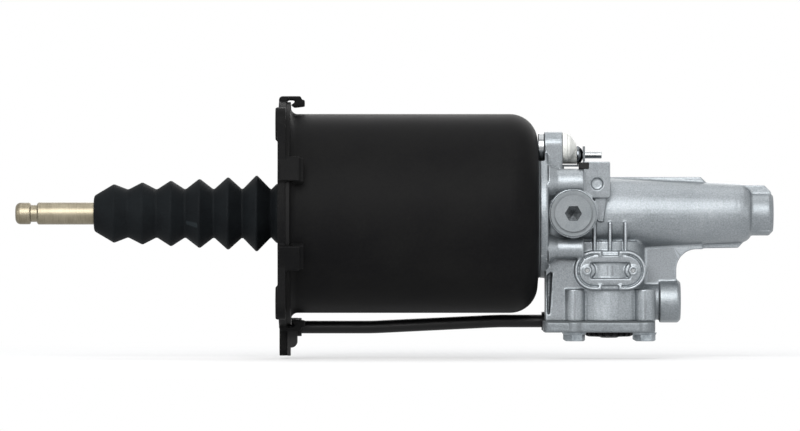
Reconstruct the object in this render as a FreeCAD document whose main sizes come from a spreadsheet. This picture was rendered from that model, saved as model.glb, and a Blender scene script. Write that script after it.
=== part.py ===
import FreeCAD, Part
import math
import os
import re
import Sketcher

# Clutch servo: an air cylinder that helps the driver's hydraulic pressure to push the clutch fork.
# +X runs from the push rod towards the hydraulic inlet, +Z is up, and the origin is the centre of
# the mounting face on the rod's axis. Lengths are in millimetres and angles in degrees.

doc = FreeCAD.newDocument("clutch_servo")
sheet = doc.addObject("Spreadsheet::Sheet", "Sizes")
V = FreeCAD.Vector
places = {}
sub_parts = []


# Sizes and formulas

def write_sizes(heading, values):
    """Write a heading and one row for each size: its name, then its number."""
    row = write_sizes.next_row
    sheet.set(f"A{row}", heading)
    for name, value in values.items():
        row += 1
        sheet.set(f"A{row}", name)
        sheet.set(f"B{row}", str(value))
        sheet.setAlias(f"B{row}", name)
    write_sizes.next_row = row + 2


write_sizes.next_row = 1


def cells(formula):
    """A formula with its worked-out places opened up and its sizes named as cells."""
    def swap(match):
        word = match.group(0)
        if word in places:
            return f"({cells(places[word])})"
        return f"Sizes.{word}"
    return re.sub(r"\b[a-z]+(?:_[a-z0-9]+)+\b", swap, str(formula))


def number(formula):
    """What a formula comes to with the present sizes."""
    return float(sheet.evalExpression(cells(formula)))


def bind(thing, **formulas):
    """Tie each property to its formula; a double underscore stands for a dot."""
    for prop, formula in formulas.items():
        thing.setExpression(prop.replace("__", "."), cells(formula))


# Bodies, sketches and features

def new_body(label, x=0, y=0, z=0):
    """A body placed at a point of the servo."""
    body = doc.addObject("PartDesign::Body", label)
    body.Label = label
    bind(body, Placement__Base__x=x, Placement__Base__y=y, Placement__Base__z=z)
    sub_parts.append(body)
    return body


def attach(feature, body, plane, u=0, v=0, w=0):
    """Lay a feature on one of its body's planes, at u and v in it and w above it.

    The XY plane's u, v, w run along X, Y, Z; the XZ plane's along X, Z, -Y; the YZ plane's along Y, Z, X.
    """
    origin_plane = next(f for f in body.Origin.OriginFeatures if f.Role == f"{plane}_Plane")
    feature.AttachmentSupport = (origin_plane, "")
    feature.MapMode = "FlatFace"
    bind(feature, AttachmentOffset__Base__x=u, AttachmentOffset__Base__y=v, AttachmentOffset__Base__z=w)


def new_sketch(body, name, plane, w=0):
    sketch = body.newObject("Sketcher::SketchObject", name)
    attach(sketch, body, plane, w=w)
    return sketch


def fix_point(sketch, geometry, end, u, v):
    """Hold a point of the sketch at u and v from its origin."""
    at_u = sketch.addConstraint(Sketcher.Constraint("DistanceX", -1, 1, geometry, end, number(u)))
    sketch.setExpression(f"Constraints[{at_u}]", cells(u))
    at_v = sketch.addConstraint(Sketcher.Constraint("DistanceY", -1, 1, geometry, end, number(v)))
    sketch.setExpression(f"Constraints[{at_v}]", cells(v))


def fix_radius(sketch, geometry, radius):
    index = sketch.addConstraint(Sketcher.Constraint("Radius", geometry, number(radius)))
    sketch.setExpression(f"Constraints[{index}]", cells(radius))


def add_circle(sketch, u, v, radius):
    geometry = sketch.addGeometry(Part.Circle(V(number(u), number(v), 0), V(0, 0, 1), number(radius)), False)
    fix_point(sketch, geometry, 3, u, v)
    fix_radius(sketch, geometry, radius)


def arc_between(start, end, radius, left):
    """The shorter arc between two points, turning left or right, and which of its ends is the start."""
    middle = (start + end) / 2
    half = (end - start).Length / 2
    reach = math.sqrt(max(radius * radius - half * half, 0))
    along = (end - start).normalize()
    side = 1 if left else -1
    centre = middle + V(-along.y, along.x, 0) * reach * side
    first, last = (start, end) if left else (end, start)
    angle_a = math.atan2(first.y - centre.y, first.x - centre.x)
    angle_b = math.atan2(last.y - centre.y, last.x - centre.x)
    if angle_b < angle_a:
        angle_b += 2 * math.pi
    arc = Part.ArcOfCircle(Part.Circle(centre, V(0, 0, 1), radius), angle_a, angle_b)
    return arc, (1, 2) if left else (2, 1)


def outline(sketch, corners, closed=True):
    """Draw a chain of lines and arcs through corners given as formulas.

    A corner is (u, v), (u, v, "round", radius), (u, v, "chamfer", length), or (u, v, "left" or "right",
    radius), where the edge that leaves it is an arc that turns that way.
    """
    count = len(corners)
    points = [V(number(c[0]), number(c[1]), 0) for c in corners]
    eased = [len(c) > 2 and c[2] in ("round", "chamfer") for c in corners]
    arrive, leave = list(points), list(points)
    for i, corner in enumerate(corners):
        if not eased[i]:
            continue
        before = (points[i - 1] - points[i]).normalize()
        after = (points[(i + 1) % count] - points[i]).normalize()
        reach = number(corner[3])
        if corner[2] == "round":
            reach = reach / math.tan(before.getAngle(after) / 2)
        arrive[i] = points[i] + before * reach
        leave[i] = points[i] + after * reach
    edges = []
    corner_edges = {}
    for i in range(count if closed else count - 1):
        if eased[i]:
            corner_edges[i] = len(edges)
            if corners[i][2] == "round":
                turn = (arrive[i] - points[i]).cross(leave[i] - points[i]).z
                arc, ends = arc_between(arrive[i], leave[i], number(corners[i][3]), turn < 0)
                edges.append((sketch.addGeometry(arc, False), ends))
            else:
                line = Part.LineSegment(arrive[i], leave[i])
                edges.append((sketch.addGeometry(line, False), (1, 2)))
        nxt = (i + 1) % count
        if len(corners[i]) > 2 and corners[i][2] in ("left", "right"):
            arc, ends = arc_between(leave[i], arrive[nxt], number(corners[i][3]), corners[i][2] == "left")
            geometry = sketch.addGeometry(arc, False)
            edges.append((geometry, ends))
            corner_edges[("bow", i)] = len(edges) - 1
        else:
            geometry = sketch.addGeometry(Part.LineSegment(leave[i], arrive[nxt]), False)
            edges.append((geometry, (1, 2)))
        corner_edges[("out", i)] = len(edges) - 1
    total = len(edges)
    smooth = {corner_edges[i] for i in range(count) if i in corner_edges and corners[i][2] == "round"}
    for k in range(total if closed else total - 1):
        n = (k + 1) % total
        kind = "Tangent" if k in smooth or n in smooth else "Coincident"
        one, two = edges[k], edges[n]
        sketch.addConstraint(Sketcher.Constraint(kind, one[0], one[1][1], two[0], two[1][0]))
    for i, corner in enumerate(corners):
        if eased[i]:
            mark = sketch.addGeometry(Part.Point(points[i]), True)
            fix_point(sketch, mark, 1, corner[0], corner[1])
            into = edges[corner_edges[("out", (i - 1) % count)]][0]
            out = edges[corner_edges[("out", i)]][0]
            sketch.addConstraint(Sketcher.Constraint("PointOnObject", mark, 1, into))
            sketch.addConstraint(Sketcher.Constraint("PointOnObject", mark, 1, out))
            if corner[2] == "round":
                fix_radius(sketch, edges[corner_edges[i]][0], corner[3])
            else:
                for line, end in ((into, 2), (out, 1)):
                    cut = Sketcher.Constraint("Distance", mark, 1, line, end, number(corner[3]))
                    index = sketch.addConstraint(cut)
                    sketch.setExpression(f"Constraints[{index}]", cells(corner[3]))
        elif ("out", i) in corner_edges:
            geometry, ends = edges[corner_edges[("out", i)]]
            fix_point(sketch, geometry, ends[0], corner[0], corner[1])
        else:
            geometry, ends = edges[-1]
            fix_point(sketch, geometry, ends[1], corner[0], corner[1])
        if len(corner) > 2 and corner[2] in ("left", "right"):
            fix_radius(sketch, edges[corner_edges[("bow", i)]][0], corner[3])


def revolve(body, name, corners, axis="H", cut=False):
    """Turn a closed outline about the X axis, or with axis V about the Z axis."""
    sketch = new_sketch(body, f"{name}_profile", "XZ")
    outline(sketch, corners)
    kind = "Groove" if cut else "Revolution"
    feature = body.newObject(f"PartDesign::{kind}", name)
    feature.Profile = sketch
    feature.ReferenceAxis = (sketch, [f"{axis}_Axis"])
    feature.Angle = 360
    return feature


def turned(label, corners, axis="H", x=0, y=0, z=0):
    """A piece turned on a lathe from one outline."""
    body = new_body(label, x, y, z)
    revolve(body, f"{label}_turning", corners, axis)
    return body


def pad(body, sketch, name, length, centred=False):
    feature = body.newObject("PartDesign::Pad", name)
    feature.Profile = sketch
    if centred:
        feature.SideType = "Symmetric"
    bind(feature, Length=length)
    return feature


def pocket(body, sketch, name, length, reverse=False):
    """Cut below the sketch's plane, or above it with reverse."""
    feature = body.newObject("PartDesign::Pocket", name)
    feature.Profile = sketch
    feature.Reversed = reverse
    bind(feature, Length=length)
    return feature


def ring_pattern(body, originals, count):
    """Repeat features about the X axis."""
    pattern = body.newObject("PartDesign::PolarPattern", f"{originals[0].Name}_ring")
    pattern.Originals = originals
    axis = next(f for f in body.Origin.OriginFeatures if f.Role == "X_Axis")
    pattern.Axis = (axis, [""])
    pattern.Angle = 360
    pattern.Occurrences = count
    body.Tip = pattern
    return pattern


def rod(body, name, plane, radius, length, u=0, v=0, w=0, cut=False):
    """Add or cut a cylinder that rises from w above a plane."""
    kind = "Subtractive" if cut else "Additive"
    feature = body.newObject(f"PartDesign::{kind}Cylinder", name)
    attach(feature, body, plane, u, v, w)
    bind(feature, Radius=radius, Height=length)
    return feature


def rectangle(left, low, right, high, radius=None):
    """The corners of an upright rectangle, rounded where a radius is given."""
    ease = () if radius is None else ("round", radius)
    return [(left, low) + ease, (right, low) + ease, (right, high) + ease, (left, high) + ease]


def ring(label, inner, outer, start, end, edge=None, axis="H", x=0, y=0, z=0):
    """A plain ring or sleeve; its outer edges are chamfered where an edge size is given."""
    ease = () if edge is None else ("chamfer", edge)
    if axis == "H":
        corners = [(start, inner), (end, inner), (end, outer) + ease, (start, outer) + ease]
    else:
        corners = [(inner, start), (outer, start) + ease, (outer, end) + ease, (inner, end)]
    return turned(label, corners, axis, x, y, z)


# Driving sizes

fits = {
    "fit_gap": 0.08,
    "seal_gap": 0.08,
    "loose_gap": 0.4,
    "seat_gap": 0.05,
}
write_sizes("Fits between pieces", fits)
cylinder_sizes = {
    "cylinder_radius": 54,
    "cylinder_wall": 2,
    "cylinder_end": 141.7,
    "cylinder_corner": 15,
    "end_crown": 1.4,
    "seat_radius": 36.5,
    "rim_reach": 6.5,
    "rim_bend": 3.8,
    "pilot_radius": 21.2,
}
write_sizes("Air cylinder, deep-drawn steel", cylinder_sizes)
cover_sizes = {
    "pad_height": 1.2,
    "cover_thickness": 4.3,
    "cover_lip": 0.9,
    "bolt_spacing": 96,
    "bolt_hole_radius": 5.25,
    "bolt_pad_radius": 9,
    "cover_opening": 15,
    "dish_radius": 40,
    "dish_width": 9,
    "dish_depth": 1.6,
    "foot_low": 77.4,
    "foot_width": 20,
    "finger_width": 14,
    "finger_gauge": 2.2,
    "finger_end": 13.2,
    "hook_inset": 3.2,
    "hook_reach": 1.9,
    "hook_lip": 1.4,
    "finger_angle": 22.5,
    "slot_width": 1.2,
    "cover_seal_cord": 1.3,
}
write_sizes("Front cover, pressed steel with a foot for the breather", cover_sizes)
rod_sizes = {
    "rod_radius": 6,
    "rod_tip": 142,
    "rod_head_length": 8.4,
    "rod_head_radius": 5.9,
    "rod_neck_radius": 4.6,
    "rod_neck_length": 3.4,
    "ball_radius": 7,
    "ball_place": 62,
    "pleat_count": 6,
    "pleat_pitch": 15.5,
    "first_crest": 88.5,
    "first_crest_radius": 16,
    "crest_growth": 1,
    "valley_radius": 13,
    "bellows_wall": 1.4,
    "mouth_place": 99.4,
    "mouth_radius": 9.5,
    "mouth_length": 5,
    "cuff_lip": 3,
    "cuff_lip_length": 2.4,
}
write_sizes("Push rod and bellows", rod_sizes)
piston_sizes = {
    "piston_front": 16,
    "piston_rim": 16,
    "piston_web": 6,
    "piston_hub_radius": 18,
    "piston_hub_length": 24,
    "piston_rim_wall": 7,
    "lip_groove": 5,
    "lip_groove_depth": 5,
    "guide_groove": 4,
    "guide_groove_depth": 2.2,
    "groove_land": 2,
    "plunger_radius": 11,
    "plunger_length": 180,
    "plunger_bore": 7.8,
    "collar_radius": 14,
    "collar_length": 3,
    "piston_nut_length": 6,
    "piston_nut_radius": 15,
    "sleeve_length": 7,
    "piston_travel": 55,
}
write_sizes("Air piston and plunger", piston_sizes)
spring_sizes = {
    "spring_radius": 38,
    "spring_wire": 1.6,
    "spring_turns": 5,
}
write_sizes("Preload spring", spring_sizes)
barrel_sizes = {
    "gasket_thickness": 0.6,
    "flange_radius": 35,
    "flange_thickness": 4.5,
    "flange_flat": 28.4,
    "spigot_length": 8,
    "shoulder_radius": 25,
    "barrel_start": 166,
    "barrel_radius": 20.1,
    "barrel_end_radius": 16.2,
    "barrel_end": 250,
    "barrel_fillet": 6,
    "inlet_radius": 12,
    "inlet_end": 269.3,
    "inlet_chamfer": 2.4,
    "inlet_thread": 5.25,
    "inlet_depth": 14,
    "bore_gap": 0.6,
    "bore_end": 250,
    "seal_bore": 17,
    "seal_bore_depth": 18,
}
write_sizes("Valve body, die-cast aluminium", barrel_sizes)
rib_sizes = {
    "screw_boss_spread": 21,
    "upper_boss_height": 16.6,
    "upper_boss_radius": 7.6,
    "lower_boss_height": 19,
    "lower_boss_radius": 5.6,
    "boss_end": 166,
    "boss_flare": 2.6,
    "boss_flare_length": 5,
    "lug_height": 36.2,
    "lug_end": 154.8,
    "lug_radius": 8.1,
    "lug_side": 4,
    "plug_place": 160.2,
    "plug_boss_radius": 12.8,
    "plug_boss_front": 27,
    "plug_rib_height": 3.4,
    "plug_rib_front": 23,
    "lug_plate_right": 180.3,
    "lug_plate_top": 28,
    "lug_plate_low": 8.4,
    "lug_plate_front": 23,
    "lug_plate_back": 9,
    "lug_plate_round": 1.6,
    "lug_hole_radius": 3.3,
    "lug_hole_depth": 1.6,
    "lug_hole_place": 173.2,
    "lug_hole_height": 16,
    "top_rib_height": 19.8,
    "top_rib_end": 230,
    "top_rib_width": 5,
    "top_rib_slope": 3.6,
    "low_rib_height": 19.4,
    "low_rib_end": 250.3,
    "rib_width": 1.5,
    "rib_pitch": 8.3,
    "rib_front": 21,
    "rib_top": 4.6,
    "bead_radius": 1,
    "end_pad_height": 15.3,
    "end_pad_width": 11,
    "end_pad_slope": 3.8,
    "web_thickness": 9,
    "web_left": 200,
    "web_right": 216.7,
    "web_round": 11,
}
write_sizes("Casting, bosses ribs and lugs", rib_sizes)
housing_sizes = {
    "valve_axis": 180.3,
    "valve_head_radius": 19.5,
    "valve_head_low": 42,
    "valve_head_top": 15,
    "valve_barrel_radius": 12.5,
    "valve_low": 58.4,
    "column_left": 145.5,
    "column_right": 156.4,
    "column_top": 24,
    "column_width": 34,
    "column_chamfer": 5,
    "shoulder_front": 17,
    "cover_screw_x": 19,
    "cover_screw_y": 14.5,
    "screw_post_radius": 5.8,
    "screw_post_top": 41,
    "port_height": 47.5,
    "port_radius": 11.7,
    "port_start": 208.5,
    "port_end": 219,
    "port_neck_radius": 10.2,
    "port_thread": 7.25,
    "port_depth": 13,
    "port_chamfer": 1.6,
    "port_passage": 4,
    "oval_height": 30.8,
    "oval_length": 38.4,
    "oval_width": 20.9,
    "oval_front": 22,
    "oval_depth": 4.5,
    "oval_rim": 1.4,
    "oval_groove": 1.1,
    "oval_frame_height": 1.1,
    "oval_rim_height": 1.7,
    "oval_window_length": 21.7,
    "oval_window_height": 8.7,
    "oval_bite": 3.4,
    "oval_notch": 9.4,
    "pin_spread": 12.4,
    "pin_ring_radius": 2.4,
    "drive_pin_radius": 1.1,
    "drive_pin_length": 4,
}
write_sizes("Relay valve housing", housing_sizes)
fastener_sizes = {
    "body_screw_radius": 3,
    "body_screw_depth": 14,
    "body_head_radius": 5,
    "body_head_length": 5,
    "head_socket": 5,
    "stud_radius": 3,
    "stud_nut_across": 10,
    "stud_nut_length": 4,
    "collar_face_radius": 7.2,
    "collar_depth": 3.2,
    "cap_radius": 7.4,
    "cap_length": 7.6,
    "cap_wall": 1.1,
    "cap_rim_radius": 8,
    "cap_rim_width": 2.6,
}
write_sizes("Fasteners of the valve body", fastener_sizes)
indicator_sizes = {
    "indicator_side": 8,
    "indicator_height": 31.8,
    "indicator_radius": 1.9,
    "indicator_out": 176.5,
    "sleeve_radius": 3.4,
    "bush_radius": 4.8,
    "bush_end": 163,
    "dome_radius": 5.2,
    "dome_length": 3.2,
    "clip_gauge": 1.1,
    "clip_width": 8,
    "clip_foot": 2.4,
    "clip_top": 4.7,
}
write_sizes("Wear indicator", indicator_sizes)
plug_sizes = {
    "plug_shank_radius": 9,
    "plug_shank_length": 9,
    "plug_collar_radius": 12.3,
    "plug_collar_height": 2.4,
    "plug_face_radius": 9.9,
    "plug_face_height": 1.6,
    "plug_socket": 8,
    "plug_socket_depth": 6,
    "plug_ring_height": 1.2,
}
write_sizes("Screw plug", plug_sizes)
guide_sizes = {
    "bush_length": 8,
    "plunger_seal_length": 7,
    "circlip_gauge": 1.4,
    "circlip_seat": 1.3,
}
write_sizes("Seals and guides of the plunger", guide_sizes)
relay_sizes = {
    "valve_bore": 9.4,
    "valve_bore_top": 24.5,
    "pilot_bore": 4,
    "control_top": 15,
    "control_disc_top": 25.2,
    "control_disc_length": 5,
    "control_groove": 2.4,
    "control_groove_depth": 1.6,
    "exhaust_tube_radius": 3.4,
    "exhaust_bore": 2,
    "exhaust_lift": 0.95,
    "seat_top": 38.5,
    "seat_length": 3,
    "seat_hole": 5.4,
    "seat_lip": 0.5,
    "inlet_face_radius": 7.6,
    "inlet_face_length": 3,
    "inlet_face_stem": 3.2,
    "guide_top": 52.5,
    "valve_spring_wire": 0.5,
    "valve_spring_radius": 5,
    "valve_spring_turns": 3,
}
write_sizes("Relay valve", relay_sizes)
plate_sizes = {
    "cover_plate_thickness": 5.4,
    "cover_gasket": 0.5,
    "cover_plate_left": 144.4,
    "cover_plate_right": 204.8,
    "cover_plate_width": 44,
    "cover_plate_round": 4,
    "cover_screw_radius": 2.9,
    "cover_screw_length": 15,
    "cover_flange_radius": 6.4,
    "cover_flange_height": 1.2,
    "cover_head_across": 10,
    "cover_head_height": 3.6,
    "exhaust_recess": 1.4,
    "exhaust_hole_radius": 1.6,
    "exhaust_hole_circle": 6.6,
    "flap_stem": 3,
    "flap_radius": 13,
    "flap_height": 3.2,
}
write_sizes("Valve cover, screws and exhaust flap", plate_sizes)
pipe_sizes = {
    "pipe_radius": 3.5,
    "pipe_bore": 2.5,
    "pipe_clearance": 7.9,
    "pipe_boss_drop": 0.2,
    "pipe_front": 9.5,
    "pipe_bend_start": 52,
    "pipe_bend_end": 120,
    "pipe_bend_round": 180,
    "pipe_entry": 5,
    "elbow_depth": 5.4,
    "elbow_drop": 11.1,
    "elbow_step": 1.7,
    "grommet_radius": 5,
    "grommet_length": 3,
    "pipe_boss_radius": 6.4,
    "pipe_boss_length": 9,
}
write_sizes("Breather pipe", pipe_sizes)
doc.recompute()

places.update(
    rim_radius="cylinder_radius + rim_reach",
    cover_radius="rim_radius + cover_lip",
    hook_radius="rim_radius - hook_inset",
    pipe_height="cylinder_radius + pipe_clearance",
    pipe_rise="pipe_height - valve_low - pipe_boss_drop",
    elbow_low="pipe_height + elbow_drop",
    cover_front="pad_height",
    cover_back="pad_height + cover_thickness",
    rim_back="cover_back + cylinder_wall",
    cylinder_bore="cylinder_radius - cylinder_wall",
    end_inside="cylinder_end - cylinder_wall",
    flange_face="cylinder_end + gasket_thickness",
    flange_back="flange_face + flange_thickness",
    pipe_side="finger_width / 2 + foot_width / 2 + loose_gap",
    piston_outer="cylinder_bore - loose_gap",
    piston_back="piston_front + piston_rim",
    hub_back="piston_front + piston_hub_length",
    web_front="piston_front + (piston_rim - piston_web) / 2",
    web_back="web_front + piston_web",
    plunger_front="piston_front - piston_nut_length",
    plunger_end="plunger_front + plunger_length",
    bore_radius="plunger_radius + bore_gap",
    spigot_front="flange_face - spigot_length",
)


# Cylinder shell: one deep-drawn cup with a rolled rim and a flat seat for the valve body

def cylinder_shell():
    shell = new_body("cylinder_shell")
    revolve(shell, "shell_drawing", [
        ("cover_back", "cylinder_bore", "round", "rim_bend + cylinder_wall"),
        ("end_inside - end_crown", "cylinder_bore", "round", "cylinder_corner - cylinder_wall"),
        ("end_inside", "seat_radius"),
        ("end_inside", "pilot_radius"),
        ("cylinder_end", "pilot_radius"),
        ("cylinder_end", "seat_radius"),
        ("cylinder_end - end_crown", "cylinder_radius", "round", "cylinder_corner"),
        ("rim_back", "cylinder_radius", "round", "rim_bend"),
        ("rim_back", "rim_radius"),
        ("cover_back", "rim_radius"),
    ])
    holes = new_sketch(shell, "end_holes", "YZ", "end_inside - 1")
    for side in (-1, 1):
        add_circle(holes, f"{side} * screw_boss_spread", "upper_boss_height", "body_screw_radius + loose_gap")
        add_circle(holes, f"{side} * screw_boss_spread", "-lower_boss_height", "body_screw_radius + loose_gap")
    add_circle(holes, "-lug_side", "lug_height", "stud_radius + seat_gap")
    add_circle(holes, "indicator_side", "indicator_height", "sleeve_radius + seat_gap")
    pocket(shell, holes, "end_hole_cut", "cylinder_wall + 2", reverse=True)
    return shell


# Front cover: pressed plate with four bolt pads, a foot for the breather and six fingers over the rim

def cover_finger(cover, name, turn):
    """One finger hooked behind the rim, turned about the axis from straight up towards the front (-Y)."""
    sketch = new_sketch(cover, f"{name}_profile", "XZ")
    sketch.AttachmentOffset = FreeCAD.Placement(V(0, 0, 0), FreeCAD.Rotation(V(1, 0, 0), number(turn)))
    bind(sketch, AttachmentOffset__Rotation__Angle=turn)
    outline(sketch, [
        ("cover_front", "cover_radius - 4 * finger_gauge"),
        ("cover_back", "cover_radius - 4 * finger_gauge"),
        ("cover_back", "cover_radius"),
        ("finger_end - finger_gauge", "cover_radius"),
        ("rim_back + 3 * seat_gap", "hook_radius + hook_lip"),
        ("rim_back + hook_reach", "hook_radius"),
        ("finger_end + hook_reach", "hook_radius + hook_lip / 2"),
        ("finger_end + hook_reach", "cover_radius + finger_gauge - hook_reach"),
        ("finger_end", "cover_radius + finger_gauge - hook_reach"),
        ("finger_end", "cover_radius + finger_gauge", "round", "finger_gauge / 4"),
        ("cover_front", "cover_radius + finger_gauge", "round", "finger_gauge * 0.8"),
    ])
    return pad(cover, sketch, name, "finger_width", centred=True)


def front_cover():
    cover = new_body("front_cover")
    plate = new_sketch(cover, "plate_round", "YZ", "cover_front")
    add_circle(plate, 0, 0, "cover_radius")
    pad(cover, plate, "plate_disc", "cover_thickness")
    reach = "(bolt_spacing / 2 + bolt_pad_radius)"
    square = new_sketch(cover, "plate_square", "YZ", "cover_front")
    outline(square, rectangle(f"-{reach}", f"-{reach}", reach, reach, "bolt_pad_radius"))
    pad(cover, square, "plate_corners", "cover_thickness")
    foot = new_sketch(cover, "foot_outline", "YZ", "cover_front")
    outline(foot, [
        ("pipe_side - foot_width / 2", "-foot_low", "round", "foot_width / 5"),
        ("pipe_side + foot_width / 2", "-foot_low", "round", "foot_width / 5"),
        ("pipe_side + foot_width / 2", "-hook_radius + foot_width / 2"),
        ("pipe_side - foot_width / 2", "-hook_radius + foot_width / 2"),
    ])
    pad(cover, foot, "foot", "cover_thickness")
    revolve(cover, "bead_back", [
        ("cover_back - cover_thickness / 3", "dish_radius - dish_width"),
        ("cover_back", "dish_radius - dish_width"),
        ("cover_back + dish_depth", "dish_radius - dish_width / 2"),
        ("cover_back + dish_depth", "dish_radius + dish_width / 2"),
        ("cover_back", "dish_radius + dish_width"),
        ("cover_back - cover_thickness / 3", "dish_radius + dish_width"),
    ])
    revolve(cover, "bead_front", [
        ("cover_front - pad_height", "dish_radius - dish_width"),
        ("cover_front", "dish_radius - dish_width"),
        ("cover_front + dish_depth", "dish_radius - dish_width / 2"),
        ("cover_front + dish_depth", "dish_radius + dish_width / 2"),
        ("cover_front", "dish_radius + dish_width"),
        ("cover_front - pad_height", "dish_radius + dish_width"),
    ], cut=True)
    pads = new_sketch(cover, "bolt_pads", "YZ")
    holes = new_sketch(cover, "bolt_holes", "YZ", "-1")
    for side in (-1, 1):
        for level in (-1, 1):
            add_circle(pads, f"{side} * bolt_spacing / 2", f"{level} * bolt_spacing / 2", "bolt_pad_radius")
            add_circle(holes, f"{side} * bolt_spacing / 2", f"{level} * bolt_spacing / 2", "bolt_hole_radius")
    pad(cover, pads, "bolt_pad", "pad_height")
    fingers = [
        cover_finger(cover, "finger_top", "0"),
        cover_finger(cover, "finger_high", "90 - finger_angle"),
        cover_finger(cover, "finger_low", "90 + finger_angle"),
    ]
    ring_pattern(cover, fingers, 2)
    pocket(cover, holes, "bolt_hole", "cover_back + 2", reverse=True)
    rod(cover, "rod_opening", "YZ", "cover_opening", "cover_back + 2", w="-1", cut=True)
    return cover


def cover_seal():
    # The cord lies in the corner between the cover and the rolled rim.
    bend = "(cylinder_wall + rim_bend)"
    middle = f"cylinder_radius + rim_bend - 2 * sqrt({bend} * (cover_seal_cord + seat_gap))"
    body = new_body("cover_seal")
    cord = new_sketch(body, "cord_section", "XZ")
    add_circle(cord, "cover_back + cover_seal_cord + seat_gap", middle, "cover_seal_cord")
    turn = body.newObject("PartDesign::Revolution", "cord_ring")
    turn.Profile = cord
    turn.ReferenceAxis = (cord, ["H_Axis"])
    turn.Angle = 360
    return body


# Bellows: moulded rubber with sharp pleats that grow towards the cover

def bellows():
    outer = [
        ("-mouth_place", "mouth_radius", "round", "bellows_wall"),
        ("-mouth_place + mouth_length", "mouth_radius + bellows_wall"),
    ]
    inner = [("-mouth_place", "rod_radius + seat_gap"), ("-mouth_place + mouth_length", "rod_radius + seat_gap")]
    pleats = int(number("pleat_count"))
    for i in range(pleats):
        crest = f"-first_crest + {i} * pleat_pitch"
        outer.append((crest, f"first_crest_radius + {i} * crest_growth"))
        outer.append((f"{crest} + pleat_pitch / 2", "valley_radius"))
        inner.append((crest, f"first_crest_radius + {i} * crest_growth - 1.6 * bellows_wall"))
        inner.append((f"{crest} + pleat_pitch / 2", "valley_radius - bellows_wall"))
    cuff = [
        ("cover_front - cuff_lip_length", "cover_opening + cuff_lip * 0.6"),
        ("cover_front - seat_gap", "cover_opening + cuff_lip"),
        ("cover_front - seat_gap", "cover_opening - seat_gap"),
        ("cover_back + seat_gap", "cover_opening - seat_gap"),
        ("cover_back + seat_gap", "cover_opening + cuff_lip"),
        ("cover_back + cuff_lip_length", "cover_opening"),
        ("cover_back + cuff_lip_length", "valley_radius - bellows_wall"),
    ]
    return turned("bellows", outer + cuff + inner[::-1])


# Push rod: ball in the plunger at one end, rounded head with a neck at the other

def push_rod():
    return turned("push_rod", [
        ("-rod_tip", 0),
        ("-rod_tip", "rod_head_radius", "round", "rod_head_radius / 2"),
        ("-rod_tip + rod_head_length", "rod_head_radius", "round", "rod_head_radius / 6"),
        ("-rod_tip + rod_head_length", "rod_neck_radius"),
        ("-rod_tip + rod_head_length + rod_neck_length", "rod_neck_radius"),
        ("-rod_tip + rod_head_length + rod_neck_length", "rod_radius", "chamfer", "rod_radius / 8"),
        ("ball_place - sqrt(ball_radius * ball_radius - rod_radius * rod_radius)", "rod_radius",
         "right", "ball_radius"),
        ("ball_place + ball_radius", 0),
    ])


# Air piston and its rings

def air_piston():
    web_round = ("round", "piston_web / 3")
    lip_start = "piston_front + groove_land"
    lip_end = f"{lip_start} + lip_groove"
    guide_start = f"{lip_end} + groove_land"
    guide_end = f"{guide_start} + guide_groove"
    return turned("air_piston", [
        ("piston_front", "plunger_radius + seat_gap"),
        ("piston_front", "piston_hub_radius", "chamfer", "seat_gap * 16"),
        ("web_front", "piston_hub_radius") + web_round,
        ("web_front", "piston_outer - piston_rim_wall") + web_round,
        ("piston_front", "piston_outer - piston_rim_wall"),
        ("piston_front", "piston_outer", "chamfer", "groove_land / 2"),
        (lip_start, "piston_outer"),
        (lip_start, "piston_outer - lip_groove_depth"),
        (lip_end, "piston_outer - lip_groove_depth"),
        (lip_end, "piston_outer"),
        (guide_start, "piston_outer"),
        (guide_start, "piston_outer - guide_groove_depth"),
        (guide_end, "piston_outer - guide_groove_depth"),
        (guide_end, "piston_outer"),
        ("piston_back", "piston_outer", "chamfer", "groove_land / 2"),
        ("piston_back", "piston_outer - piston_rim_wall"),
        ("web_back", "piston_outer - piston_rim_wall") + web_round,
        ("web_back", "piston_hub_radius") + web_round,
        ("hub_back", "piston_hub_radius", "chamfer", "seat_gap * 16"),
        ("hub_back", "plunger_radius + seat_gap"),
    ])


def piston_lip_seal():
    start = "piston_front + groove_land + seat_gap"
    end = "piston_front + groove_land + lip_groove - seat_gap"
    low = "piston_outer - lip_groove_depth + seat_gap"
    top = "cylinder_bore - seal_gap"
    return turned("piston_lip_seal", [
        (start, low),
        (end, low),
        (end, f"{low} + lip_groove_depth / 4"),
        (f"{start} + lip_groove / 2", f"{low} + lip_groove_depth / 2"),
        (end, f"{top} - lip_groove_depth / 5"),
        (end, top),
        (f"{start} + lip_groove / 3", "piston_outer - seat_gap"),
        (start, "piston_outer - seat_gap"),
    ])


def piston_guide_ring():
    start = "piston_front + 2 * groove_land + lip_groove + seat_gap"
    return ring(
        "piston_guide_ring",
        "piston_outer - guide_groove_depth + seat_gap",
        "cylinder_bore - fit_gap",
        start,
        f"{start} + guide_groove - 2 * seat_gap",
    )


# Plunger: the hydraulic piston, hollow at the front for the push rod's ball

def plunger():
    return turned("plunger", [
        ("plunger_front", "plunger_bore"),
        ("plunger_front", "plunger_radius", "chamfer", "loose_gap * 2"),
        ("hub_back + seat_gap", "plunger_radius"),
        ("hub_back + seat_gap", "collar_radius"),
        ("hub_back + collar_length", "collar_radius", "chamfer", "collar_length / 5"),
        ("hub_back + collar_length", "plunger_radius"),
        ("plunger_end", "plunger_radius", "chamfer", "loose_gap * 4"),
        ("plunger_end", 0),
        ("ball_place + ball_radius + seat_gap", 0),
        ("ball_place + ball_radius + seat_gap", "plunger_bore"),
    ])


def hexagon(across, turn=0):
    """The six corners of a hexagon of this width across its flats."""
    return [
        (f"{across} / sqrt(3) * cos({turn + 60 * k})", f"{across} / sqrt(3) * sin({turn + 60 * k})")
        for k in range(6)
    ]


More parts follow.
